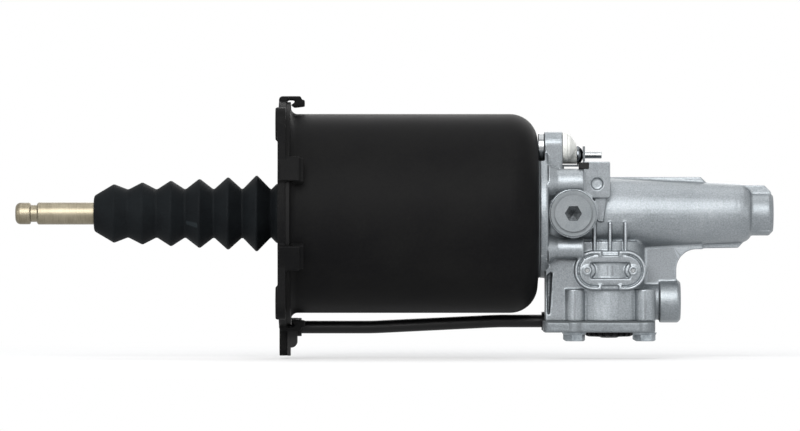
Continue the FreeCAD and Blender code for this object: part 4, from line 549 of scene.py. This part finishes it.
socket = trimSizes["socket"]
socketBody = bmesh.new()
x0, z0 = socket["centre"]
socketTurns = [math.pi / 3 * k for k in range(6)]
nearRing, farRing = [[socketBody.verts.new(((x0 + socket["radius"] * math.cos(t)) * mm, y * mm,
                                            (z0 + socket["radius"] * math.sin(t)) * mm)) for t in socketTurns]
                     for y in (socket["floor"] - socket["rise"], socket["floor"])]
apex = socketBody.verts.new((x0 * mm, (socket["floor"] - socket["dimple"]) * mm, z0 * mm))
socketBody.faces.new(farRing)
for k in range(6):
    j = (k + 1) % 6
    socketBody.faces.new((nearRing[k], nearRing[j], apex))
    socketBody.faces.new((nearRing[k], nearRing[j], farRing[j], farRing[k]))
# the socket's floor takes the darker spring-wire metal instead of the plug's grey: painted shade in the socket
finishPiece(socketBody, "punchedSocketFloor", materials["springWire"])

rimBody = bmesh.new()
addLathe(rimBody, trimSizes["rim"]["section"], socket["centre"], crosswise=True)
finishPiece(rimBody, "plugBossRim", materials["machinedDieCast"], trimSizes["rim"]["bevel"])

# a small black rubber block near the lug
blackBlockBody = bmesh.new()
(x0, y0, z0), (x1, y1, z1) = trimSizes["blackBlock"]["low"], trimSizes["blackBlock"]["high"]
addPrism(blackBlockBody, [(x0, z0), (x1, z0), (x1, z1), (x0, z1)], y0, y1)
finishPiece(blackBlockBody, "blackRubberBlock", materials["nitrileRubber"], trimSizes["blackBlock"]["bevel"])
print("stage: small trim")


# Bellows: six pleats that grow towards the cover, by Geometry Nodes

bellowsInputs = {
    "Start": ("NodeSocketFloat", -99.4),
    "Length": ("NodeSocketFloat", 102.5),
    "First Crest": ("NodeSocketFloat", -88.5),
    "Pitch": ("NodeSocketFloat", 15.5),
    "Valley Radius": ("NodeSocketFloat", 13.0),
    "Crest Height": ("NodeSocketFloat", 3.0),
    "Crest Growth": ("NodeSocketFloat", 1.0),
    "Mouth Radius": ("NodeSocketFloat", 9.5),
    "Rod Radius": ("NodeSocketFloat", 6.1),
    "Cuff Radius": ("NodeSocketFloat", 16.0),
    "Last Valley": ("NodeSocketFloat", -3.25),
    "Fold Softness": ("NodeSocketFloat", 0.06),
    "Rows": ("NodeSocketInt", 420),
    "Spokes": ("NodeSocketInt", 121),
    "Rubber": ("NodeSocketMaterial", materials["mouldedRubber"]),
}


# the end that stays in the cover, the rod's travel, the share of rows that close the mouth, and the nose's blend
bellowsSizes = {"anchor": 1.2, "travel": 55.0, "mouthShare": 0.03, "noseSoftness": 0.3, "noseBlend": -1.2}


def bellowsTree():
    tree, given, result = newTree("pleatedBellows", bellowsInputs)
    size = given.outputs
    maths, choice = "ShaderNodeMath", {"input_type": "FLOAT"}
    grid = addNode(tree, "GeometryNodeMeshGrid", {},
                   {"Size X": 1.0, "Size Y": 1.0, "Vertices X": size["Rows"], "Vertices Y": size["Spokes"]})
    spot = addNode(tree, "ShaderNodeSeparateXYZ", {}, [addNode(tree, "GeometryNodeInputPosition")])
    along = addNode(tree, maths, "ADD", [spot.outputs[0], 0.5])
    around = addNode(tree, maths, "ADD", [spot.outputs[1], 0.5])
    turn = addNode(tree, maths, "MULTIPLY", [around, 2 * math.pi])
    # the first rows close the mouth down to the rod round a soft corner, the others are the wall
    mouthWay = addNode(tree, maths, "DIVIDE", [along, bellowsSizes["mouthShare"]])
    mouth = addNode(tree, maths, "MINIMUM", [mouthWay, 1.0])
    wallWay = addNode(tree, maths, "SUBTRACT", [along, bellowsSizes["mouthShare"]])
    wallWay = addNode(tree, maths, "DIVIDE", [wallWay, 1 - bellowsSizes["mouthShare"]])
    wall = addNode(tree, maths, "MAXIMUM", [wallWay, 0.0])
    inward = addNode(tree, maths, "SUBTRACT", [1.0, addNode(tree, maths, "POWER", [mouth, 4.0])])
    inward = addNode(tree, maths, "SQRT", [addNode(tree, maths, "MAXIMUM", [inward, 0.0])])
    corner = addNode(tree, maths, "SUBTRACT", [1.0, inward])
    wallStart = addNode(tree, maths, "ADD", [size["Start"], corner])
    wallLength = addNode(tree, maths, "SUBTRACT", [size["Length"], 1.0])
    x = addNode(tree, maths, "MULTIPLY_ADD", [wall, wallLength, wallStart])
    # pleats: 0 at a crest and 0.5 at a valley, softened at both
    pastCrest = addNode(tree, maths, "SUBTRACT", [x, size["First Crest"]])
    steps = addNode(tree, maths, "DIVIDE", [pastCrest, size["Pitch"]])
    wave = addNode(tree, maths, "PINGPONG", [addNode(tree, maths, "ADD", [steps, 100.0]), 0.5])
    rise = addNode(tree, maths, "MULTIPLY_ADD", [wave, -2.0, 1.0])
    softTop = addNode(tree, maths, "SUBTRACT", [1.0, size["Fold Softness"]])
    rise = addNode(tree, maths, "SMOOTH_MIN", [rise, softTop, size["Fold Softness"]])
    rise = addNode(tree, maths, "SMOOTH_MAX", [rise, size["Fold Softness"], size["Fold Softness"]])
    pleat = addNode(tree, maths, "ROUND", [steps])
    height = addNode(tree, maths, "MULTIPLY_ADD", [pleat, size["Crest Growth"], size["Crest Height"]])
    pleats = addNode(tree, maths, "MULTIPLY_ADD", [rise, height, size["Valley Radius"]])
    # before the first crest the wall runs straight down to the mouth
    crest = addNode(tree, maths, "ADD", [size["Valley Radius"], size["Crest Height"]])
    noseRise = addNode(tree, maths, "SUBTRACT", [crest, size["Mouth Radius"]])
    noseLength = addNode(tree, maths, "SUBTRACT", [size["First Crest"], size["Start"]])
    slope = addNode(tree, maths, "DIVIDE", [noseRise, noseLength])
    nose = addNode(tree, maths, "MULTIPLY_ADD", [pastCrest, slope, crest])
    softNose = addNode(tree, maths, "SMOOTH_MIN", [nose, pleats, bellowsSizes["noseSoftness"]])
    beforeCrest = addNode(tree, maths, "LESS_THAN", [pastCrest, 0.0])
    radius = addNode(tree, "GeometryNodeSwitch", choice, {"Switch": beforeCrest, "False": pleats, "True": softNose})
    onNose = addNode(tree, maths, "LESS_THAN", [pastCrest, bellowsSizes["noseBlend"]])
    radius = addNode(tree, "GeometryNodeSwitch", choice, {"Switch": onNose, "False": radius, "True": nose})
    # past the last valley the cuff widens into the cover's mouth
    pastValley = addNode(tree, maths, "SUBTRACT", [x, size["Last Valley"]])
    widened = addNode(tree, maths, "MAXIMUM", [pastValley, 0.0])
    widened = addNode(tree, maths, "ADD", [widened, size["Valley Radius"]])
    cuff = addNode(tree, maths, "MINIMUM", [widened, size["Cuff Radius"]])
    inCuff = addNode(tree, maths, "GREATER_THAN", [pastValley, 0.0])
    radius = addNode(tree, "GeometryNodeSwitch", choice, {"Switch": inCuff, "False": radius, "True": cuff})
    lipWidth = addNode(tree, maths, "SUBTRACT", [size["Mouth Radius"], size["Rod Radius"]])
    lipShare = addNode(tree, maths, "SUBTRACT", [1.0, mouth])
    lip = addNode(tree, maths, "MULTIPLY", [lipShare, lipWidth])
    radius = addNode(tree, maths, "SUBTRACT", [radius, lip])
    aside = addNode(tree, maths, "MULTIPLY", [radius, addNode(tree, maths, "COSINE", [turn])])
    upward = addNode(tree, maths, "MULTIPLY", [radius, addNode(tree, maths, "SINE", [turn])])
    point = addNode(tree, "ShaderNodeCombineXYZ", {}, [x, aside, upward])
    metres = addNode(tree, "ShaderNodeVectorMath", "SCALE", {0: point, "Scale": mm})
    shaped = addNode(tree, "GeometryNodeSetPosition", {}, {"Geometry": grid, "Position": metres})
    closed = addNode(tree, "GeometryNodeMergeByDistance", {}, {"Geometry": shaped, "Distance": 0.01 * mm})
    smooth = addNode(tree, "GeometryNodeSetShadeSmooth", {}, {"Geometry": closed, "Shade Smooth": True})
    whole = addNode(tree, "GeometryNodeRealizeInstances", {}, {"Geometry": smooth})
    made = addNode(tree, "GeometryNodeSetMaterial", {}, {"Geometry": whole, "Material": size["Rubber"]})
    tree.links.new(made.outputs[0], result.inputs[0])
    return tree


bellowsPiece = bakeTree("pleatedBellows", bellowsTree(), bellowsInputs)
faceOutwards(bellowsPiece.data)
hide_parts("bellows")
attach(bellowsPiece, "housing")
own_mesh(bellowsPiece)
print("stage: bellows,", len(bellowsPiece.data.polygons), "faces")


# Springs: merged copies of the coils of the solids

springSizes = {
    "preloadCoil": {"node": "preload_spring", "joint": "piston_slide", "axis": 0, "fixedEnd": 139.3,
                    "freeEnd": 27.05, "travel": 55.0},
    "controlCoil": {"node": "control_spring", "joint": "control_slide", "axis": 2, "fixedEnd": -38.5,
                    "freeEnd": -30.25, "travel": 2.0},
    "inletCoil": {"node": "inlet_spring", "joint": "inlet_slide", "axis": 2, "fixedEnd": -52.5, "freeEnd": -45.1,
                  "travel": 1.1},
}
for name, size in springSizes.items():
    coil = newObject(name, mergedCopy(size["node"]))
    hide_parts(size["node"])
    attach(coil, "housing")
    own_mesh(coil)
print("stage: springs")


# Cover screws: hexagon flange heads with chamfered corners, by Geometry Nodes

screwInputs = {
    "Middle": ("NodeSocketVector", (180.3 * mm, 0.0, -64.35 * mm)),
    "Spread X": ("NodeSocketFloat", 38.0 * mm),
    "Spread Y": ("NodeSocketFloat", 29.0 * mm),
    "Across Flats": ("NodeSocketFloat", 10.0 * mm),
    "Head Height": ("NodeSocketFloat", 3.55 * mm),
    "Flange Radius": ("NodeSocketFloat", 6.4 * mm),
    "Flange Height": ("NodeSocketFloat", 1.2 * mm),
    "Zinc": ("NodeSocketMaterial", materials["clearZincSteel"]),
}


# a cone over the hexagon, narrower at the head's outer end, chamfers its corners
screwShares = {"coneTop": 1.9, "coneBottom": 0.47, "coneHeight": 1.02, "flangeTaper": 0.93}


def screwTree():
    tree, given, result = newTree("coverScrews", screwInputs)
    size = given.outputs
    maths = "ShaderNodeMath"
    corner = addNode(tree, maths, "DIVIDE", [size["Across Flats"], math.sqrt(3)])
    prism = addNode(tree, "GeometryNodeMeshCylinder", {"fill_type": "NGON"},
                    {"Vertices": 6, "Radius": corner, "Depth": size["Head Height"]})
    coneTop = addNode(tree, maths, "MULTIPLY", [corner, screwShares["coneTop"]])
    coneBottom = addNode(tree, maths, "MULTIPLY", [size["Across Flats"], screwShares["coneBottom"]])
    coneHeight = addNode(tree, maths, "MULTIPLY", [size["Head Height"], screwShares["coneHeight"]])
    cone = addNode(tree, "GeometryNodeMeshCone", {"fill_type": "NGON"},
                   {"Vertices": 72, "Radius Top": coneTop, "Radius Bottom": coneBottom, "Depth": coneHeight})
    coneDrop = addNode(tree, maths, "MULTIPLY", [coneHeight, -0.5])
    low = addNode(tree, "ShaderNodeCombineXYZ", {}, {2: coneDrop})
    level = addNode(tree, "GeometryNodeTransform", {}, {"Geometry": cone, "Translation": low})
    head = addNode(tree, "GeometryNodeMeshBoolean", "INTERSECT", {1: prism})
    tree.links.new(level.outputs[0], head.inputs[1])
    headDrop = addNode(tree, maths, "MULTIPLY_ADD", [size["Head Height"], 0.5, size["Flange Height"]])
    headDrop = addNode(tree, maths, "MULTIPLY", [headDrop, -1.0])
    drop = addNode(tree, "ShaderNodeCombineXYZ", {}, {2: headDrop})
    hung = addNode(tree, "GeometryNodeTransform", {}, {"Geometry": head, "Translation": drop})
    taper = addNode(tree, maths, "MULTIPLY", [size["Flange Radius"], screwShares["flangeTaper"]])
    flange = addNode(tree, "GeometryNodeMeshCone", {"fill_type": "NGON"},
                     {"Vertices": 64, "Side Segments": 1, "Radius Top": size["Flange Radius"],
                      "Radius Bottom": taper, "Depth": size["Flange Height"]})
    flangeDrop = addNode(tree, maths, "MULTIPLY", [size["Flange Height"], -1.0])
    under = addNode(tree, "ShaderNodeCombineXYZ", {}, {2: flangeDrop})
    seat = addNode(tree, "GeometryNodeTransform", {}, {"Geometry": flange, "Translation": under})
    screw = addNode(tree, "GeometryNodeJoinGeometry")
    tree.links.new(seat.outputs[0], screw.inputs[0])
    tree.links.new(hung.outputs[0], screw.inputs[0])
    grid = addNode(tree, "GeometryNodeMeshGrid", {},
                   {"Size X": size["Spread X"], "Size Y": size["Spread Y"], "Vertices X": 2, "Vertices Y": 2})
    spots = addNode(tree, "GeometryNodeTransform", {}, {"Geometry": grid, "Translation": size["Middle"]})
    turned = addNode(tree, "FunctionNodeRandomValue", {"data_type": "FLOAT_VECTOR"},
                     {"Min": (0, 0, 0), "Max": (0, 0, math.pi / 3), "Seed": 7})
    copies = addNode(tree, "GeometryNodeInstanceOnPoints", {},
                     {"Points": spots, "Instance": screw, "Rotation": turned})
    whole = addNode(tree, "GeometryNodeRealizeInstances", {}, {"Geometry": copies})
    made = addNode(tree, "GeometryNodeSetMaterial", {}, {"Geometry": whole, "Material": size["Zinc"]})
    tree.links.new(made.outputs[0], result.inputs[0])
    return tree


screwPiece = bakeTree("coverScrewHeads", screwTree(), screwInputs)
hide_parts("cover_screws")
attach(screwPiece, "housing")
print("stage: cover screws,", len(screwPiece.data.polygons), "faces")


# Exhaust flap: a rubber disc under the valve cover, with slots round its edge, by Geometry Nodes

flapBox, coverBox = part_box("exhaust_flap"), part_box("valve_cover")
flapInputs = {
    "Middle": ("NodeSocketVector", ((flapBox[0][0] + flapBox[1][0]) / 2, 0.0, coverBox[0][2] - 0.05 * mm)),
    "Radius": ("NodeSocketFloat", 12.9 * mm),
    "Height": ("NodeSocketFloat", coverBox[0][2] - flapBox[0][2] - 0.1 * mm),
    "Slots": ("NodeSocketInt", 20),
    "Slot Share": ("NodeSocketFloat", 0.34),
    "Slot Depth": ("NodeSocketFloat", 1.2 * mm),
    "Rows": ("NodeSocketInt", 60),
    "Spokes": ("NodeSocketInt", 241),
    "Rubber": ("NodeSocketMaterial", materials["nitrileRubber"]),
}
# the section from the middle of the top, round the rim and back to the middle below: (way, radius, depth)
flapSection = [(0.0, 0.0, 0.0), (0.2, 0.97, 0.0), (0.25, 1.0, 0.08), (0.42, 1.0, 0.5), (0.5, 0.94, 0.68),
               (0.56, 0.86, 0.78), (0.7, 0.4, 0.84), (0.74, 0.34, 0.98), (0.78, 0.28, 1.0), (1.0, 0.0, 1.0)]


def flapTree():
    tree, given, result = newTree("slottedFlap", flapInputs)
    size = given.outputs
    maths = "ShaderNodeMath"
    grid = addNode(tree, "GeometryNodeMeshGrid", {},
                   {"Size X": 1.0, "Size Y": 1.0, "Vertices X": size["Rows"], "Vertices Y": size["Spokes"]})
    spot = addNode(tree, "ShaderNodeSeparateXYZ", {}, [addNode(tree, "GeometryNodeInputPosition")])
    way = addNode(tree, maths, "ADD", [spot.outputs[0], 0.5])
    around = addNode(tree, maths, "ADD", [spot.outputs[1], 0.5])
    turn = addNode(tree, maths, "MULTIPLY", [around, 2 * math.pi])
    shares = []
    for column in (1, 2):  # the section's radius and depth
        curve = addNode(tree, "ShaderNodeFloatCurve", {}, {"Value": way})
        points = curve.mapping.curves[0].points
        points[0].location = (flapSection[0][0], flapSection[0][column])
        points[1].location = (flapSection[-1][0], flapSection[-1][column])
        for row in flapSection[1:-1]:
            points.new(row[0], row[column])
        for point in points:
            point.handle_type = "VECTOR"
        curve.mapping.update()
        shares.append(curve)
    radius = addNode(tree, maths, "MULTIPLY", [shares[0], size["Radius"]])
    depth = addNode(tree, maths, "MULTIPLY", [shares[1], size["Height"]])
    # slots round the edge: what lies outside their floor is drawn in to it
    beat = addNode(tree, maths, "FRACT", [addNode(tree, maths, "MULTIPLY", [around, size["Slots"]])])
    inSlot = addNode(tree, maths, "LESS_THAN", [beat, size["Slot Share"]])
    slotFloor = addNode(tree, maths, "SUBTRACT", [size["Radius"], size["Slot Depth"]])
    past = addNode(tree, maths, "SUBTRACT", [radius, slotFloor])
    past = addNode(tree, maths, "MAXIMUM", [past, 0.0])
    radius = addNode(tree, maths, "SUBTRACT", [radius, addNode(tree, maths, "MULTIPLY", [inSlot, past])])
    x = addNode(tree, maths, "MULTIPLY", [radius, addNode(tree, maths, "COSINE", [turn])])
    y = addNode(tree, maths, "MULTIPLY", [radius, addNode(tree, maths, "SINE", [turn])])
    z = addNode(tree, maths, "MULTIPLY", [depth, -1.0])
    point = addNode(tree, "ShaderNodeCombineXYZ", {}, [x, y, z])
    place = addNode(tree, "ShaderNodeVectorMath", "ADD", [point, size["Middle"]])
    shaped = addNode(tree, "GeometryNodeSetPosition", {}, {"Geometry": grid, "Position": place})
    closed = addNode(tree, "GeometryNodeMergeByDistance", {}, {"Geometry": shaped, "Distance": 0.004 * mm})
    whole = addNode(tree, "GeometryNodeRealizeInstances", {}, {"Geometry": closed})
    made = addNode(tree, "GeometryNodeSetMaterial", {}, {"Geometry": whole, "Material": size["Rubber"]})
    tree.links.new(made.outputs[0], result.inputs[0])
    return tree


flapPiece = bakeTree("slottedFlap", flapTree(), flapInputs)
faceOutwards(flapPiece.data)
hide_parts("exhaust_flap")
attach(flapPiece, "housing")
print("stage: exhaust flap,", len(flapPiece.data.polygons), "faces")


# Floor, world, lamps and camera

# the shadow round the middle is kept as it falls, at half strength, and fades out past its reach
stageSizes = {"floorDrop": -79.0, "floorHalf": 3500.0, "middle": 80.0, "shadowReach": 260.0, "shadowFade": 240.0,
              "shadowDepth": 0.5}
floorMesh = bpy.data.meshes.new("floor")
half, drop = stageSizes["floorHalf"] * mm, stageSizes["floorDrop"] * mm
floorMesh.from_pydata([(-half, -half, drop), (half, -half, drop), (half, half, drop), (-half, half, drop)], [],
                      [(0, 1, 2, 3)])
floor = newObject("paleFloor", floorMesh)
paleFloor = bpy.data.materials.new("matteWhitePaper")  # white sweep: shows the object's shadow, no gloss
paleFloor.use_nodes = True
floorTree = paleFloor.node_tree
floorTree.nodes.clear()
path = addNode(floorTree, "ShaderNodeLightPath")
seen = addNode(floorTree, "ShaderNodeMath", "MAXIMUM",
               [path.outputs["Is Camera Ray"], path.outputs["Is Glossy Ray"]])
seen = addNode(floorTree, "ShaderNodeMath", "MAXIMUM", [seen, path.outputs["Is Transmission Ray"]])
floorSpot = addNode(floorTree, "ShaderNodeTexCoord").outputs["Object"]
far = addNode(floorTree, "ShaderNodeVectorMath", "DISTANCE", [floorSpot, (stageSizes["middle"] * mm, 0.0, drop)])
white = addNode(floorTree, "ShaderNodeMapRange", {"clamp": True},
                {"Value": far.outputs["Value"], "From Min": stageSizes["shadowReach"] * mm,
                 "From Max": (stageSizes["shadowReach"] + stageSizes["shadowFade"]) * mm,
                 "To Min": stageSizes["shadowDepth"], "To Max": 1.0})
share = addNode(floorTree, "ShaderNodeMath", "MULTIPLY", [white, seen])
paper = addNode(floorTree, "ShaderNodeBsdfDiffuse", {}, {"Color": linearColour("#f4f4f4")})
glow = addNode(floorTree, "ShaderNodeEmission", {}, {"Color": (1, 1, 1, 1), "Strength": 1.0})
lift = addNode(floorTree, "ShaderNodeMixShader", {}, [share, paper, glow])
addNode(floorTree, "ShaderNodeOutputMaterial", {}, {"Surface": lift})
floorMesh.materials.append(paleFloor)

world = bpy.data.worlds.new("whiteStudio")
scene.world = world
world.use_nodes = True
worldTree = world.node_tree
worldTree.nodes.clear()
worldPath = addNode(worldTree, "ShaderNodeLightPath")
direct = addNode(worldTree, "ShaderNodeMath", "MAXIMUM",
                 [worldPath.outputs["Is Camera Ray"], worldPath.outputs["Is Transmission Ray"]])
direct = addNode(worldTree, "ShaderNodeMath", "MAXIMUM", [direct, worldPath.outputs["Is Glossy Ray"]])
soft = addNode(worldTree, "ShaderNodeBackground", {}, {"Color": linearColour("#b9bdc2"), "Strength": 0.65})
white = addNode(worldTree, "ShaderNodeBackground", {}, {"Color": (1, 1, 1, 1), "Strength": 1.0})
sky = addNode(worldTree, "ShaderNodeMixShader", {}, [direct, soft, white])
addNode(worldTree, "ShaderNodeOutputWorld", {}, {"Surface": sky})

lamps = {
    "keySoftbox": {"at": (-0.1, -1.25, 0.66), "aim": (0.1, 0.0, 0.0), "size": 1.0, "power": 23.0},
    "topSoftbox": {"at": (0.2, 0.1, 1.2), "aim": (0.12, 0.0, 0.0), "size": 1.0, "power": 4.5},
    "leftSoftbox": {"at": (-1.1, -0.5, 0.25), "aim": (0.0, 0.0, 0.0), "size": 0.6, "power": 3.0},
    "rightFill": {"at": (1.1, -0.7, 0.1), "aim": (0.15, 0.0, 0.0), "size": 0.7, "power": 2.5},
    "backFill": {"at": (0.2, 1.1, 0.5), "aim": (0.1, 0.0, 0.0), "size": 0.8, "power": 5.0},
}
for name, lamp in lamps.items():
    data = bpy.data.lights.new(name, "AREA")
    data.shape = "SQUARE"
    data.size = lamp["size"]
    data.energy = lamp["power"]
    data.color = (1.0, 0.99, 0.98)
    light = bpy.data.objects.new(name, data)
    scene.collection.objects.link(light)
    light.location = lamp["at"]
    light.rotation_euler = (Vector(lamp["aim"]) - Vector(lamp["at"])).to_track_quat("-Z", "Y").to_euler()

# a long lens from far off, as the photograph shows no perspective; width is what the frame spans at the object
camera = {"distance": 4.0, "width": 0.4344, "lookAt": (0.0668, -0.0011), "sensor": 36.0, "clipEnd": 20.0}
lens = bpy.data.cameras.new("photoCamera")
lens.sensor_width = camera["sensor"]
lens.lens = camera["sensor"] * camera["distance"] / camera["width"]
lens.clip_end = camera["clipEnd"]
photoCamera = bpy.data.objects.new("photoCamera", lens)
scene.collection.objects.link(photoCamera)
photoCamera.location = (camera["lookAt"][0], -camera["distance"], camera["lookAt"][1])
photoCamera.rotation_euler = (math.pi / 2, 0, 0)
scene.camera = photoCamera
scene.view_settings.view_transform = "Standard"
print("stage: studio ready")
